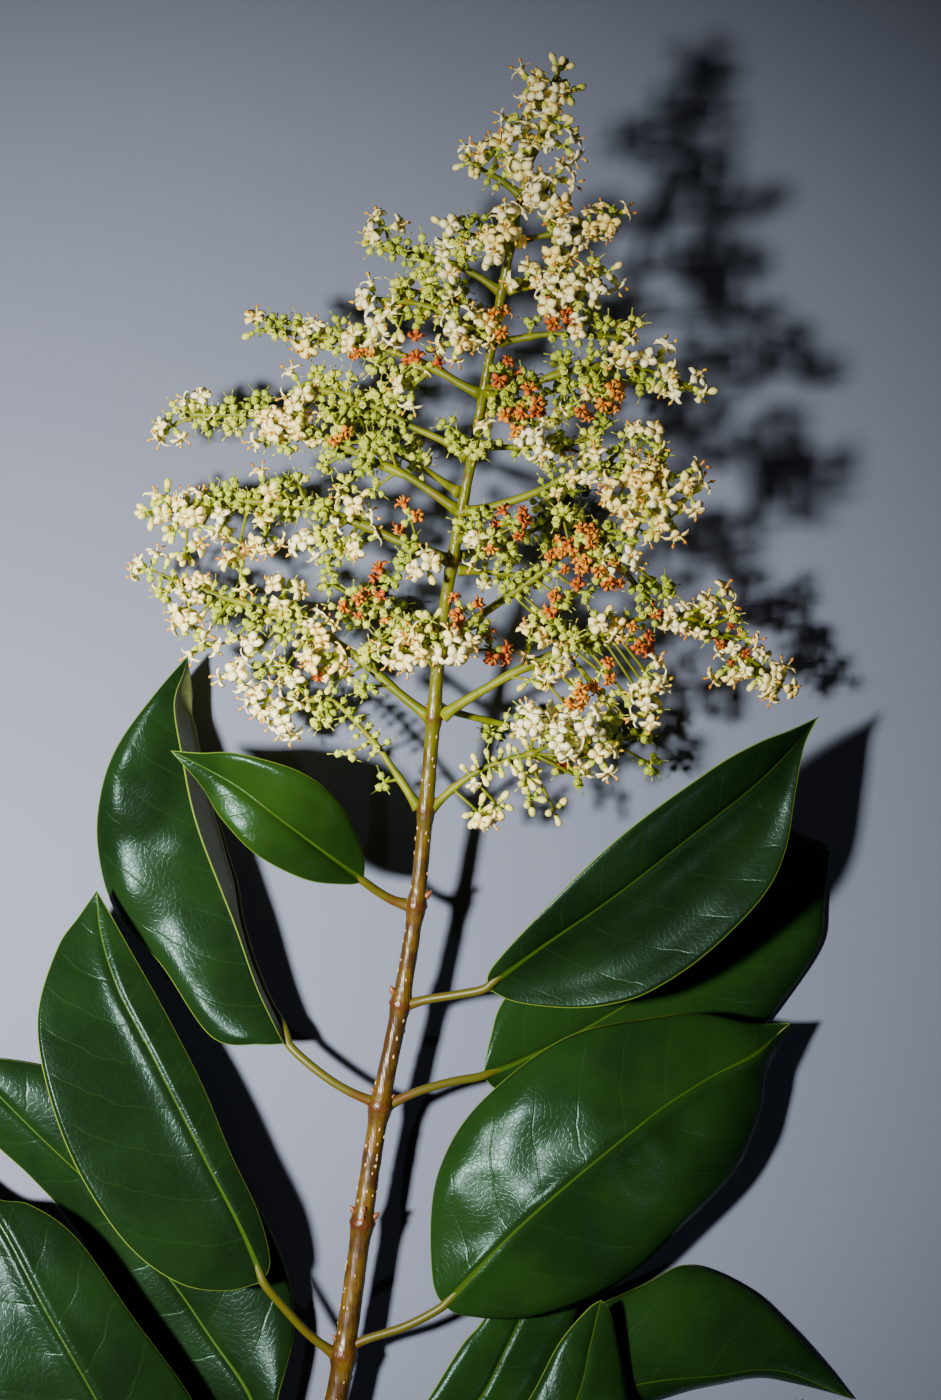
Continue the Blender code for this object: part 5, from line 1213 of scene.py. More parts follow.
@dataclass
class Leaf:
    """One leaf: its blade, its rib below, and its stalk down to the stem.

    The sizes are in millimetres. The left and the right half of the blade bulge up, or sag, by the two shares
    of their width in bulges. The ridge is how high the blade rises beside the rib, edge_roll how far the edge
    turns down as a share of the width, and pucker how much the blade rises and falls.
    """

    name: str
    shape: LeafShape
    seed: float
    bulges: tuple = (0.055, 0.055)
    ridge: float = 0.2
    edge_roll: float = 0.05
    pucker: float = 0.14
    rows: int = 120
    columns: int = 48
    crowding: float = 1.15
    thickness: float = 0.45
    lowest: float = 0.6
    rib_depth: float = 0.40
    rib_width: float = 1.0
    ridge_spread: float = 3.5
    edge_width: float = 0.2
    quilting: float = 0.10
    waviness: float = 0.6
    fine_pucker: float = 0.02
    vein_pairs: float = 9.0
    vein_slant: tuple = (0.50, 0.32)
    rib_root_width: float = 1.25
    rib_far_width: float = 0.24
    stalk_radius: float = 1.0
    rib_tip_radius: float = 0.22
    rib_ends: float = 0.72
    points: np.ndarray = field(init=False)

    def _loft(self) -> tuple[np.ndarray, np.ndarray, np.ndarray]:
        """The blade's midrib and its two edges, at even steps from base to tip.

        Returns:
            The midrib, the left edge and the right edge, in millimetres.
        """
        middle = true_places(self.shape.midrib)
        edges = [[middle[0], *true_places(line), middle[-1]] for line in (self.shape.left, self.shape.right)]
        return tuple(smooth_route(line, self.rows + 1, 16) for line in (middle, *edges))

    def _surface(self) -> np.ndarray:
        """Works out where each point of the blade lies, by row and column.

        Returns:
            The numbers that its pattern follows: for each point its distance from the rib, its distance from
            the edge, and its place among the side veins.
        """
        middle, left, right = self._loft()
        shares = np.linspace(-1.0, 1.0, self.columns + 1)
        shares = np.sign(shares) * np.abs(shares) ** self.crowding
        on_left = shares[None, :] < 0
        reach = np.abs(shares)[None, :]
        edge = np.where(on_left[..., None], left[:, None], right[:, None])
        base = middle[:, None] + (edge - middle[:, None]) * reach[..., None]
        up = np.cross(np.gradient(base, axis=1), np.gradient(base, axis=0))
        up[0], up[-1] = up[1], up[-2]
        up = unit(up)
        span = np.linalg.norm(edge - middle[:, None], axis=2)
        from_rib = span * reach
        from_edge = span * (1.0 - reach)
        along = np.linspace(0.0, 1.0, self.rows + 1)[:, None]
        slant = (self.vein_slant[0] * reach + self.vein_slant[1] * reach**2) * span / run_along(middle)[-1]
        phase = self.vein_pairs * (along - slant) + np.where(on_left, 0.0, 0.5)

        lift = np.where(on_left, *self.bulges) * span * 4.0 * reach * (1.0 - reach)
        lift = lift - self.edge_roll * span * share_of(reach, 1.0 - self.edge_width, self.edge_width) ** 2
        room = share_of(span.min(axis=1)[:, None], 1.5, 7.0)
        lift = lift + self.ridge * hump(from_rib, self.ridge_spread) * room
        lift = lift - self.rib_depth * hump(from_rib, self.rib_width) * room
        pillow = np.abs(np.sin(np.pi * phase)) ** 0.8 * share_of(from_rib, 0.8, 4.0)
        lift = lift + self.quilting * (pillow * share_of(from_edge, 0.0, 4.0))
        for row, column in np.ndindex(lift.shape):
            spot = Vector((*base[row, column, :2], self.seed * 37.0))
            bend = noise.noise(spot * 0.045) * self.waviness * (0.3 + reach[0, column])
            fine = noise.noise(spot * 0.09) * self.pucker + noise.noise(spot * 0.3) * self.fine_pucker
            lift[row, column] += bend + fine * min(from_edge[row, column] / 2.0, 1.0)
        lift[:2] = 0.0
        self.points = base + up * lift[..., None]
        self.points[..., 2] = np.maximum(self.points[..., 2], self.lowest)
        rib_width = self.rib_far_width + (self.rib_root_width - self.rib_far_width) * np.exp(-along / 0.13)
        return np.stack([from_rib / rib_width, from_edge, phase], 2)

    def blade(self, top: bpy.types.Material, under: bpy.types.Material) -> bpy.types.Object:
        """Builds the blade from a grid laid along its midrib and out to its edges.

        Args:
            top: The upper face's material.
            under: The lower face's material.

        Returns:
            The blade.
        """
        marks = self._surface()
        bm = bmesh.new()
        bm.loops.layers.uv.new("UVMap")
        place = bm.verts.layers.float_vector.new("leaf_place")
        bmesh.ops.create_grid(bm, x_segments=self.columns, y_segments=self.rows, size=1.0, calc_uvs=True)
        for vert in bm.verts:
            spot = round((vert.co.y + 1.0) / 2.0 * self.rows), round((vert.co.x + 1.0) / 2.0 * self.columns)
            vert.co = self.points[spot] * MM
            vert[place] = marks[spot]
        bmesh.ops.remove_doubles(bm, verts=bm.verts[:], dist=2e-6)
        piece = new_piece(mesh_of(self.name + "_blade", bm), [top, under], "leaf", self.name)
        wall = piece.modifiers.new("wall", "SOLIDIFY")
        wall.thickness = self.thickness * MM
        wall.offset = -1.0
        wall.material_offset = 1
        wall.use_even_offset = False
        wall.thickness_clamp = 1.5
        return piece

    def stalk(self, finish: bpy.types.Material) -> bpy.types.Object:
        """Builds the stalk and the rib that runs on from it below the blade.

        Args:
            finish: Its material.

        Returns:
            The stalk.
        """
        half = self.columns // 2
        spine = self.points[:, half].copy()
        LOG.info("%s: blade %.0f mm long", self.name, run_along(spine)[-1])
        normals = unit(np.cross(self.points[:, half + 1] - self.points[:, half - 1], directions(spine)))
        normals[:3] = normals[3]
        share = np.linspace(0.0, 1.0, len(spine))
        radii = self.stalk_radius * 0.92 * (1 - share) ** 0.7 + self.rib_tip_radius
        sink = share_of(share, 0.0, 0.06)[:, None]
        spine = spine - normals * sink * (self.thickness * 0.7 + radii[:, None] * 0.9)
        under = slice(0, int(len(spine) * self.rib_ends), 2)
        stalk = smooth_route(np.array(true_places(self.shape.stalk) + [spine[0], spine[6]]), 40)
        beyond = [i for i, p in enumerate(stalk) if np.linalg.norm(p - spine[0]) < 0.9]
        stalk = stalk[: beyond[0]] if beyond else stalk[:-6]
        route = np.vstack([stalk, spine[under]])
        run = run_along(route)
        own = np.concatenate([np.full(len(stalk), radii[0]), radii[under]])
        own = own * (1.0 + 0.75 * np.exp(-run / 2.6))
        route[:, 2] = np.maximum(route[:, 2], own * 0.6)
        bm = bmesh.new()
        from_stem = bm.verts.layers.float.new("from_stem")
        mark_rings(from_stem, add_tube(bm, route, own, 10, 0.9), run)
        bmesh.ops.recalc_face_normals(bm, faces=bm.faces[:])
        return new_piece(mesh_of(self.name + "_stalk", bm), [finish], "leaf", self.name)


@dataclass
class Stem:
    """The stem with its swollen nodes, its raised pores, and the buds in the leaf angles."""

    rings: int = 420
    sides: int = 22
    slimness: float = 0.93
    node_swell: float = 1.7
    node_length: float = 2.6
    waviness: float = 0.06
    pores: int = 230
    pore_length: float = 0.72
    pores_end: float = 0.78
    route: np.ndarray = field(init=False)

    def __post_init__(self) -> None:
        """Works out the stem's middle line and its radius along it."""
        radii = [radius for *_, radius in STEM_ROUTE]
        self.route = smooth_route(np.column_stack([true_places(STEM_ROUTE), radii]), self.rings)

    def at(self, y: float) -> int:
        """The ring nearest to a place's y on the view plane."""
        places = [true_place(0.0, y, z)[1] for z in self.route[:, 2]]
        return int(np.abs(self.route[:, 1] - np.array(places)).argmin())

    def wood(self, bark: bpy.types.Material, cut: bpy.types.Material) -> bpy.types.Object:
        """Builds the stem itself.

        Args:
            bark: The bark's material.
            cut: The material of the cut end.

        Returns:
            The stem.
        """
        run = run_along(self.route)
        radii = self.route[:, 3].copy() * self.slimness
        collar = np.zeros(len(radii))
        for y, swell in STEM_NODES:
            gap = (run - run[self.at(y)]) / self.node_length
            radii += swell * self.node_swell * np.exp(-(gap**2)) * (0.62 + 0.38 * np.cos(gap * 3.4) ** 2)
            collar += np.exp(-((gap * 2.2) ** 2)) * min(swell / 0.5, 1.0)
        radii += self.waviness * np.sin(run * 0.9) * np.sin(run * 0.31)
        bm = bmesh.new()
        mark = bm.verts.layers.float.new("collar")
        mark_rings(mark, add_tube(bm, self.route[:, :3], radii, self.sides), np.minimum(collar, 1.0))
        for vert in bm.verts:
            spot = vert.co / MM * 0.5
            bend = Vector((noise.noise(spot), noise.noise(spot + Vector((9, 0, 0))), 0))
            vert.co += bend * self.waviness * MM
            vert.co.z = max(vert.co.z, 0.00002)
        ends = [face for face in bm.faces if len(face.verts) == self.sides]
        for face in ends:
            face.material_index = 1
        bmesh.ops.inset_individual(bm, faces=ends, thickness=0.0009, depth=-0.0002)
        bmesh.ops.recalc_face_normals(bm, faces=bm.faces[:])
        return new_piece(mesh_of("stem_wood", bm), [bark, cut], "stem", "stem")

    def raised_pores(self, pale: bpy.types.Material) -> bpy.types.Object:
        """Builds the small pale raised pores that dot the bark.

        Args:
            pale: Their material.

        Returns:
            The pores as one piece.
        """
        dice = np.random.default_rng(SEED)
        dome = Template.from_shape([(partial(bmesh.ops.create_icosphere, subdivisions=1, radius=1.0),)])
        side, up = across(directions(self.route))
        ahead = unit(directions(self.route))
        copies = []
        for _ in range(self.pores):
            ring = int(dice.integers(6, int(self.rings * self.pores_end)))
            angle = dice.uniform(0, math.tau)
            out = side[ring] * math.cos(angle) + up[ring] * math.sin(angle)
            spot = self.route[ring, :3] + out * (self.route[ring, 3] * self.slimness + 0.02)
            size = dice.uniform(0.5, 1.0) * self.pore_length
            turn = np.column_stack([ahead[ring], np.cross(out, ahead[ring]), out])
            copies.append((spot, turn, (size, size * 0.55, size * 0.32)))
        return joined("stem_pores", dome, tuple(zip(*copies)), [pale], "stem")

    def buds(self, finish: bpy.types.Material) -> bpy.types.Object:
        """Builds the pointed buds in the leaf angles.

        Args:
            finish: Their material.

        Returns:
            The buds as one piece.
        """
        bm = bmesh.new()
        side, _ = across(directions(self.route))
        ahead = unit(directions(self.route))
        reach = np.linspace(0.0, 1.0, 7)
        for y, toward, length in STEM_BUDS:
            ring = self.at(y)
            out = side[ring] * toward + np.array((0.0, 0.0, 0.25 if toward else 1.0))
            lean = unit(out * 0.75 + ahead[ring])
            root = self.route[ring, :3] + unit(out) * self.route[ring, 3] * 0.75
            for scale, turn in ((1.0, 0.0), (0.8, 0.6)):
                line = root + lean * (length * scale * reach[:, None]) + side[ring] * turn * 0.4
                fat = length * 0.27 * scale * np.sin(np.pi * (0.25 + 0.72 * reach)) + 0.04
                add_tube(bm, line, fat, 7, 0.8)
        bmesh.ops.recalc_face_normals(bm, faces=bm.faces[:])
        return new_piece(mesh_of("stem_buds", bm), [finish], "stem")


def around(angle: float, radius: float, height: float) -> tuple[float, float, float]:
    """A place round the flower's axis."""
    return (radius * math.cos(angle), radius * math.sin(angle), height)


def turned(bm: bmesh.types.BMesh, profile: tuple, steps: int) -> None:
    """Turns a profile about the flower's axis.

    Args:
        bm: The bmesh that it is drawn on.
        profile: The radius and the height of each of its points.
        steps: How many sides it has.
    """
    verts = [bm.verts.new((radius, 0.0, height)) for radius, height in profile]
    edges = [bm.edges.new(pair) for pair in zip(verts, verts[1:])]
    full = {"cent": (0, 0, 0), "axis": (0, 0, 1), "angle": math.tau, "use_merge": True}
    bmesh.ops.spin(bm, geom=verts + edges, steps=steps, **full)
    middle = [v for v in bm.verts if math.hypot(v.co.x, v.co.y) < NO_GAP]
    bmesh.ops.remove_doubles(bm, verts=middle, dist=NO_GAP)


def rod(bm: bmesh.types.BMesh, line: tuple, radii: tuple, sides: int, flat: float = 1.0) -> None:
    """Draws a small closed tube.

    Args:
        bm: The bmesh that it is drawn on.
        line: The points along its middle.
        radii: Its radius at each point.
        sides: How many sides it has.
        flat: Its thickness as a share of its width.
    """
    before = set(bm.verts)
    add_tube(bm, np.array(line, float), np.array(radii, float), sides, flat)
    bmesh.ops.scale(bm, vec=(1 / MM, 1 / MM, 1 / MM), verts=[v for v in bm.verts if v not in before])


def petals(bm: bmesh.types.BMesh, stations: tuple, widths: tuple, start: float = 0.4) -> None:
    """Draws four petals, each turned and drooping a little differently.

    Args:
        bm: The bmesh that they are drawn on.
        stations: The radius and the height of each point along a petal.
        widths: Half the petal's width at each.
        start: The first petal's angle.
    """
    for number in range(4):
        angle = start + math.tau * number / 4 + 0.12 * math.sin(5.0 * number + start)
        drop = 0.22 * math.sin(2.3 * number + start)
        rod(bm, [around(angle, r, h + drop * (r / 2.5)) for r, h in stations], widths, 4, 0.16)


def anther(bm: bmesh.types.BMesh, angle: float, height: float, radius: float, length: float) -> None:
    """Draws an anther that leans outward.

    Args:
        bm: The bmesh that it is drawn on.
        angle: Its angle round the flower's axis.
        height: How high it stands.
        radius: Its radius.
        length: Half its length.
    """
    made = bmesh.ops.create_uvsphere(bm, u_segments=4, v_segments=2, radius=1.0)["verts"]
    bmesh.ops.scale(bm, vec=(radius, radius, length), verts=made)
    bmesh.ops.rotate(bm, cent=(0, 0, 0), matrix=Euler((0.5, 0.4, angle)).to_matrix(), verts=made)
    bmesh.ops.translate(bm, vec=around(angle, 1.15, height), verts=made)


@dataclass
class FlowerShapes:
    """The single flowers with few faces each, in millimetres along the axis that each stands on."""

    stalk_length: float = 2.4
    stalk_radius: float = 0.26
    cup_radius: float = 1.08
    cup_height: float = 1.5
    tube_height: float = 2.4
    petal_reach: float = 2.6
    petal_width: float = 1.18
    anther_size: tuple = (0.40, 0.78)
    anther_angles: tuple = (0.2, 3.5)
    style_length: float = 2.2

    def _open_flower(self, stalk: tuple) -> Template:
        """An open flower: its cup and stalk, its tube, petals and threads, and its anthers.

        Args:
            stalk: How the stalk is drawn.

        Returns:
            The template, numbered cup 0, petals 1, anthers 2.
        """
        h, tube, reach, wide = self.cup_height, self.tube_height, self.petal_reach, self.petal_width
        stations = (
            (0.35, tube), (0.48 * reach, tube + 0.42), (0.80 * reach, tube + 0.25), (reach, tube - 0.35)
        )
        threads = [
            (rod, (around(angle, 0.3, tube - 0.1), around(angle, 1.1, tube + 1.7)), (0.13, 0.1), 3)
            for angle in self.anther_angles
        ]
        return Template.from_shape(
            [(turned, ((0, 0), (0.72, 0.4), (0.8, h), (0, h + 0.1)), 5), stalk],
            [(turned, ((0, 1.1), (0.55, 1.3), (0.72, tube + 0.15), (0, tube - 0.15)), 4),
             (petals, stations, (0.75, wide, wide * 0.82, 0.14)), *threads],
            [(anther, angle, tube + 1.75, *self.anther_size) for angle in self.anther_angles],
        )

    def _green_cup(self, stalk: tuple) -> Template:
        """A cup past flowering, with its rim turned in, its young fruit and its style.

        Args:
            stalk: How the stalk is drawn.

        Returns:
            The template, numbered cup 0, fruit and style 1.
        """
        r, h, style = self.cup_radius, self.cup_height, self.style_length
        style_line = ((0, 0, h + 0.3), (0.12, 0, h + 0.5 * style), (0.42, 0, h + style))
        return Template.from_shape(
            [(turned, ((0, 0), (r * 0.75, 0.3), (r, h), (r * 0.8, h + 0.12), (r * 0.55, h - 0.2)), 6), stalk],
            [(turned, ((0, h - 0.5), (r * 0.66, h - 0.3), (r * 0.5, h + 0.35), (0, h + 0.55)), 6),
             (rod, style_line, (0.15, 0.11, 0.24), 3)],
        )

    def templates(self) -> dict[Form, Template]:
        """Draws every flower shape.

        Returns:
            The templates. The bud is numbered cup 0 and petals 1, and the withered flower cup 0, petals 1 and
            style 2.
        """
        radii = (self.stalk_radius, self.stalk_radius * 1.2)
        stalk = (rod, ((0, 0, -self.stalk_length), (0.02, 0, 0.25)), radii, 3)
        return {
            Form.OPEN: self._open_flower(stalk),
            Form.CUP: self._green_cup(stalk),
            Form.BUD: Template.from_shape(
                [(turned, ((0, 0), (0.66, 0.3), (0.78, 1.15), (0, 1.25)), 6), stalk],
                [(turned, ((0, 0.9), (0.58, 1.1), (0.92, 2.1), (0.86, 2.9), (0.42, 3.45), (0, 3.6)), 7)],
            ),
            Form.RUST: Template.from_shape(
                [(turned, ((0, 0), (0.7, 0.35), (0.86, 1.3), (0, 1.4)), 6), stalk],
                [(turned, ((0, 1.1), (0.55, 1.2), (0.66, 2.2), (0, 2.1)), 5),
                 (petals, ((0.35, 2), (1, 2.75), (1.6, 2.65), (1.95, 2)), (0.4, 0.82, 0.66, 0.16), 0.1),
                 (petals, ((0.2, 2.1), (0.55, 3.1), (1, 3.6)), (0.35, 0.60, 0.22), 1.0)],
                [(rod, ((0, 0, 1.4), (0.25, 0.1, 3.9)), (0.13, 0.1), 3)],
            ),
        }


@dataclass
class FlowerHead:
    """The cone-shaped flower head: its limbs and twigs, and the flowers of every cluster."""

    flowers_per_area: float = 0.57
    fewest: int = 3
    root_share: float = 0.34
    outward: float = 0.35
    scatter: float = 0.16
    limb_points: int = 30
    limb_sides: int = 8
    limb_tip: float = 0.5
    limb_flare: float = 0.75
    limb_spacing: float = 3.0
    limb_bare: float = 0.42
    twig_radius: float = 0.46
    twig_points: int = 6
    twig_sides: int = 5
    twig_rise: float = 0.10
    tone_count: int = 3
    group_scale: float = 0.17
    group_share: float = 0.5
    group_contrast: float = 9.0
    limbs: dict = field(init=False)
    roots: dict = field(init=False)

    def __post_init__(self) -> None:
        """Works out each limb's line, and where each cluster's twig leaves it."""
        self.limbs, self.roots = {}, {}
        for name, branch in BRANCHES.items():
            line = smooth_route(true_places(branch.route), 60)
            self.limbs[name] = line
            gaps = [np.linalg.norm(line - place, axis=1) for place in true_places(branch.clusters)]
            self.roots[name] = [line[max(int(gap.argmin()) - 3, 1)] for gap in gaps]

    def centre(self, cluster: tuple) -> np.ndarray:
        """Where a cluster's middle is, kept off the table."""
        place = true_place(*cluster[:3])
        return np.array((*place[:2], max(place[2], 2.0)))

    def twig_line(self, root: np.ndarray, centre: np.ndarray) -> np.ndarray:
        """A twig's line from its limb to its cluster, with a slight upward bend.

        Args:
            root: Where it leaves the limb.
            centre: The cluster's middle.

        Returns:
            Its points.
        """
        share = np.linspace(0.0, 1.0, self.twig_points)[:, None]
        rise = np.linalg.norm(centre - root) * self.twig_rise * np.sin(np.pi * share)
        return root + (centre - root) * share + rise * np.array((0.0, 0.0, 1.0))

    def branches(self, finish: bpy.types.Material, nodes: list[str]) -> bpy.types.Object:
        """Builds all limbs and twigs as one piece.

        Args:
            finish: Their material.
            nodes: The CAD nodes that the flower head stands for.

        Returns:
            The piece.
        """
        whole = bmesh.new()
        twig_radii = np.linspace(self.twig_radius, self.twig_radius * 0.75, self.twig_points)
        for name, branch in BRANCHES.items():
            bm = bmesh.new()
            line = smooth_route(self.limbs[name], self.limb_points)
            radii = np.linspace(branch.radius, self.limb_tip, self.limb_points)
            for root in self.roots[name]:
                radii += 0.22 * hump(np.linalg.norm(line - root, axis=1), 1.4)
            radii = np.minimum(radii, branch.radius * 1.35)
            if not branch.from_stem_end:
                radii += self.limb_flare * np.exp(-np.linalg.norm(line - line[0], axis=1) / 2.6)
            add_tube(bm, line, radii, self.limb_sides)
            for cluster, root in zip(branch.clusters, self.roots[name]):
                add_tube(bm, self.twig_line(root, self.centre(cluster)), twig_radii, self.twig_sides)
            scratch = mesh_of("limb", bm)
            whole.from_mesh(scratch)
            bpy.data.meshes.remove(scratch)
        bmesh.ops.recalc_face_normals(whole, faces=whole.faces[:])
        return new_piece(mesh_of("flower_limbs", whole), [finish], "flower", *nodes)

    def _form_at(self, letter: str, base: np.ndarray, middle: np.ndarray, dice: np.random.Generator) -> Form:
        """Chooses a flower's shape so that flowers of one shape stand in groups.

        Args:
            letter: The cluster's letter.
            base: Where the flower stands.
            middle: The middle of its cluster.
            dice: The dice that deal the flowers.

        Returns:
            The flower shape.
        """
        forms, shares = zip(*MIXES[Bloom(letter)][1].items())
        drift = noise.noise(Vector(base) * self.group_scale) - noise.noise(Vector(middle) * self.group_scale)
        grouped = 1.0 / (1.0 + math.exp(-self.group_contrast * drift))
        pick = self.group_share * grouped + (1.0 - self.group_share) * dice.uniform(0, 0.999)
        return forms[min(int(np.searchsorted(np.cumsum(shares), pick)), len(forms) - 1)]

    def deal(self) -> dict[Form, list]:
        """Deals out the flowers of every cluster.

        Returns:
            For each flower shape its flowers: a place, an axis, a turn, a size and a tone each.
        """
        dice = np.random.default_rng(SEED + 1)
        dealt = {form: [] for form in Form}
        golden = math.pi * (3.0 - math.sqrt(5.0))
        for name, branch in BRANCHES.items():
            for cluster, root, letter in zip(branch.clusters, self.roots[name], branch.kinds):
                radius = cluster[3]
                centre = self.centre(cluster)
                lean = unit(centre - root) * self.outward
                tone = int(dice.integers(self.tone_count))
                crowd = self.flowers_per_area * MIXES[Bloom(letter)][0]
                count = max(self.fewest, round(crowd * radius**2))
                turn = dice.uniform(0, math.tau)
                for number in range(count):
                    height = 1.0 - 1.45 * (number + 0.5) / count
                    level = math.sqrt(max(1.0 - height**2, 0.0))
                    axis = np.array(around(turn + golden * number, level, height))
                    axis = unit(axis + lean + dice.normal(0, self.scatter, 3))
                    base = centre + axis * radius * self.root_share * dice.uniform(0.8, 1.3)
                    form = self._form_at(letter, base, centre, dice)
                    size = dice.uniform(0.88, 1.08) * SCALES.get(form, 1.0)
                    dealt[form].append((base, axis, dice.uniform(0, math.tau), size, tone))
            self._line_limb(name, branch, dealt, dice)
        return dealt

    def _line_limb(
        self, name: str, branch: BranchShape, dealt: dict[Form, list], dice: np.random.Generator
    ) -> None:
        """Sets small flowers in threes straight on the outer part of a limb.

        Args:
            name: The limb's name.
            branch: The limb and its clusters.
            dealt: The flowers dealt so far, which these join.
            dice: The dice that deal them.
        """
        line = self.limbs[name]
        step = max(int(round(self.limb_spacing / max(np.diff(run_along(line)).mean(), 0.05))), 1)
        side, up = across(directions(line))
        centres = np.array([self.centre(cluster) for cluster in branch.clusters])
        for spot in range(int(len(line) * self.limb_bare), len(line), step):
            nearest = int(np.linalg.norm(centres - line[spot], axis=1).argmin())
            tone = int(dice.integers(self.tone_count))
            start = dice.uniform(0, math.tau)
            for turn in range(3):
                angle = start + turn * math.tau / 3 + dice.normal(0, 0.3)
                out = side[spot] * math.cos(angle) + up[spot] * math.sin(angle)
                axis = unit(out + np.array((0, 0, 0.25)))
                base = line[spot] + axis * dice.uniform(1.0, 1.9)
                form = self._form_at(branch.kinds[nearest], base, centres[nearest], dice)
                dealt[form].append((base, axis, dice.uniform(0, math.tau), dice.uniform(0.8, 1.0), tone))

    def flowers(self, shapes: FlowerShapes, finishes: dict, nodes: list[str]) -> None:
        """Builds every flower, one piece for each flower shape.

        Args:
            shapes: The single flowers.
            finishes: For each flower shape its materials.
            nodes: The CAD nodes that the flower head stands for.
        """
        templates = shapes.templates()
        for form, rows in self.deal().items():
            bases, axes, spins, sizes, tones = (np.array(column) for column in zip(*rows))
            bases[:, 2] = np.maximum(bases[:, 2], LOWEST_FLOWER)
            axes[:, 2] = np.where(bases[:, 2] < LEVEL_BELOW, np.abs(axes[:, 2]), axes[:, 2])
            side, up = across(axes)
            first = side * np.cos(spins)[:, None] + up * np.sin(spins)[:, None]
            turns = np.stack([first, np.cross(axes, first), axes], axis=2)
            joined(form.value, templates[form], (bases, turns, sizes), finishes[form], "flower", *nodes,
                   tones=tones, tone_count=self.tone_count)
            LOG.info("%s: %d flowers, %d faces each", form.value, len(rows), len(templates[form].faces))


@dataclass(frozen=True)
class FlowerFinishes:
    """The colours of the flowers, three tones of each, dealt out by cluster, and after them a roughness."""

    flower_cup: tuple = (rgb(176, 188, 54), rgb(156, 172, 40), rgb(192, 200, 72), 0.5)
    petal: tuple = (rgb(255, 242, 166), rgb(255, 234, 138), rgb(255, 248, 190), 0.55)
    anther: tuple = (rgb(214, 156, 6), rgb(192, 120, 2), rgb(226, 178, 30), 0.6)
    young_fruit: tuple = (rgb(168, 176, 50), rgb(150, 162, 40), rgb(190, 190, 70), 0.42)
    bud: tuple = (rgb(236, 222, 118), rgb(214, 210, 92), rgb(244, 230, 138), 0.45)
    withered_petal: tuple = (rgb(204, 112, 0), rgb(186, 88, 0), rgb(216, 136, 6), 0.7)

    def make(self) -> dict[Form, list[bpy.types.Material]]:
        """Builds the materials.

        Returns:
            For each flower shape its materials, in the order of its template's numbers.
        """
        made = {}
        for part, (*colours, roughness) in vars(self).items():
            made[part] = [PlainFinish(f"{part}_{n + 1}", c, roughness).make() for n, c in enumerate(colours)]
        cups = made["flower_cup"]
        return {
            Form.OPEN: cups + made["petal"] + made["anther"],
            Form.CUP: cups + made["young_fruit"],
            Form.BUD: cups + made["bud"],
            Form.RUST: cups + made["withered_petal"] + made["young_fruit"],
        }


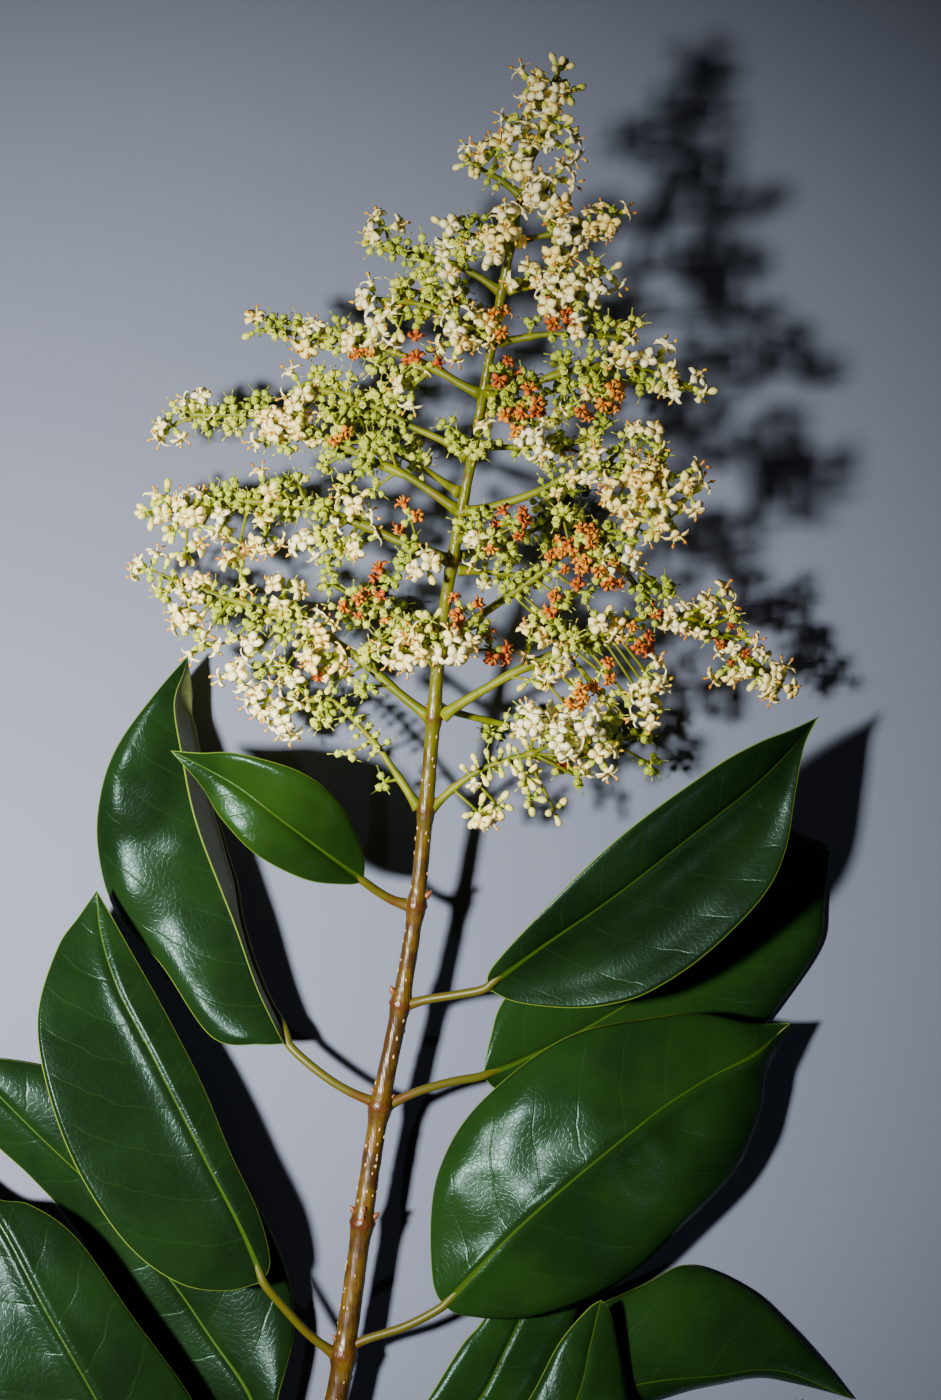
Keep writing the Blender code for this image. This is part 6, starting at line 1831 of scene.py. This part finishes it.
@dataclass
class Studio:
    """The pale floor, the soft light from the left and the camera above."""

    floor_side: float = 6.0
    floor_drop: float = 0.0002
    floor_colour: tuple = rgb(96, 103, 121)
    key_power: float = 1.9
    key_side: float = 0.09
    key_colour: tuple = (1.0, 0.965, 0.90)
    key_spread: float = math.radians(38)
    key_aim: tuple = (-0.098, -0.004, 0.0)
    key_distance: float = 0.95
    key_elevation: float = math.radians(59)
    fill_power: float = 1.0
    fill_side: float = 0.05
    fill_colour: tuple = (0.86, 0.92, 1.0)
    fill_place: tuple = (0.66, -0.78, 1.2)
    world_colour: tuple = rgb(196, 204, 220)
    world_strength: float = 0.014

    def floor(self) -> None:
        """Lays the floor, which is a stage and not part of the object."""
        bm = bmesh.new()
        bmesh.ops.create_grid(bm, x_segments=1, y_segments=1, size=self.floor_side / 2)
        floor = in_scene("floor", mesh_of("floor", bm))
        floor.location.z = -self.floor_drop
        floor.data.materials.append(PlainFinish("floor_paper", self.floor_colour, 0.9).make())

    def _area(
        self, name: str, place: Vector, side: float, power: float, colour: tuple, spread: float
    ) -> None:
        """Hangs a square light that faces the middle of the branch.

        Args:
            name: The light's name.
            place: Where it hangs.
            side: Its side.
            power: Its power.
            colour: Its colour.
            spread: How wide its beam is.
        """
        data = bpy.data.lights.new(name, "AREA")
        data.shape = "SQUARE"
        data.size = side
        data.energy = power
        data.color = colour
        data.spread = spread
        light = in_scene(name, data)
        light.location = place
        light.rotation_euler = (Vector(self.key_aim) - place).to_track_quat("-Z", "Y").to_euler()

    def lights(self) -> None:
        """Hangs the key light on the left and a weak wide fill above, under a pale sky."""
        flat, high = math.cos(self.key_elevation), math.sin(self.key_elevation)
        key = Vector((-flat, 0.0, high)) * self.key_distance
        fill = Vector(self.fill_place)
        self._area("key_light", key, self.key_side, self.key_power, self.key_colour, self.key_spread)
        self._area("fill_light", fill, self.fill_side, self.fill_power, self.fill_colour, math.pi)
        world = bpy.data.worlds.new("studio")
        world.use_nodes = True
        back = world.node_tree.nodes["Background"]
        back.inputs["Color"].default_value = self.world_colour
        back.inputs["Strength"].default_value = self.world_strength
        bpy.context.scene.world = world

    def camera(self) -> None:
        """Sets the camera straight above the branch, with the photograph's framing."""
        data = bpy.data.cameras.new("camera")
        data.sensor_fit = "VERTICAL"
        data.sensor_height = SENSOR
        data.sensor_width = SENSOR
        data.lens = SENSOR * (VIEW_HEIGHT - VIEW_PLANE) / VIEW_TALL
        camera = in_scene("camera", data)
        camera.location = (-PLACE_OF_ORIGIN[0] * MM, -PLACE_OF_ORIGIN[1] * MM, VIEW_HEIGHT * MM)
        bpy.context.scene.camera = camera


def main() -> None:
    """Builds the branch and its studio, and reports each piece."""
    logging.basicConfig(level=logging.INFO, format="%(message)s")
    effects = Effects()
    top = LeafTopFinish().make(effects)
    young = LeafTopFinish("young_leaf_top", deep=rgb(18, 38, 9), fresh=rgb(27, 51, 12)).make(effects)
    # The leaves on the right get a lighter green: painted light that makes up for the key light falling off
    # toward the right.
    painted_light_top = LeafTopFinish("lighter_leaf_top", deep=rgb(14, 34, 11), fresh=rgb(21, 45, 14)).make(effects)
    softer = LeafTopFinish("softer_leaf_top", gloss=0.062).make(effects)
    tops = {"leaf_small_left": young, "leaf_upper_left": softer}
    tops.update({name: painted_light_top for name in LEAVES if name.endswith("_right")})
    tops["leaf_upper_right"] = LeafTopFinish("glossy_leaf_top", gloss=0.20, roughness=0.26).make(effects)
    under = LeafUnderFinish().make(effects)
    stalk = StalkFinish().make(effects)
    for number, (name, shape) in enumerate(LEAVES.items()):
        leaf = Leaf(name, shape, float(number), **LEAF_FORMS.get(name, {}))
        leaf.blade(tops.get(name, top), under)
        leaf.stalk(stalk)
    stem = Stem()
    stem.wood(BarkFinish().make(effects), PlainFinish("cut_wood", rgb(206, 196, 150), 0.7).make())
    stem.raised_pores(PlainFinish("pore_cork", rgb(188, 154, 104), 0.6).make())
    stem.buds(PlainFinish("axil_bud", rgb(108, 60, 32), 0.45).make())
    nodes = list(BRANCHES)
    head = FlowerHead()
    head.branches(TwigFinish().make(effects), nodes)
    head.flowers(FlowerShapes(), FlowerFinishes().make(), nodes)
    studio = Studio()
    studio.floor()
    studio.lights()
    studio.camera()
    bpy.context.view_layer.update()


if __name__ == "__main__":
    main()
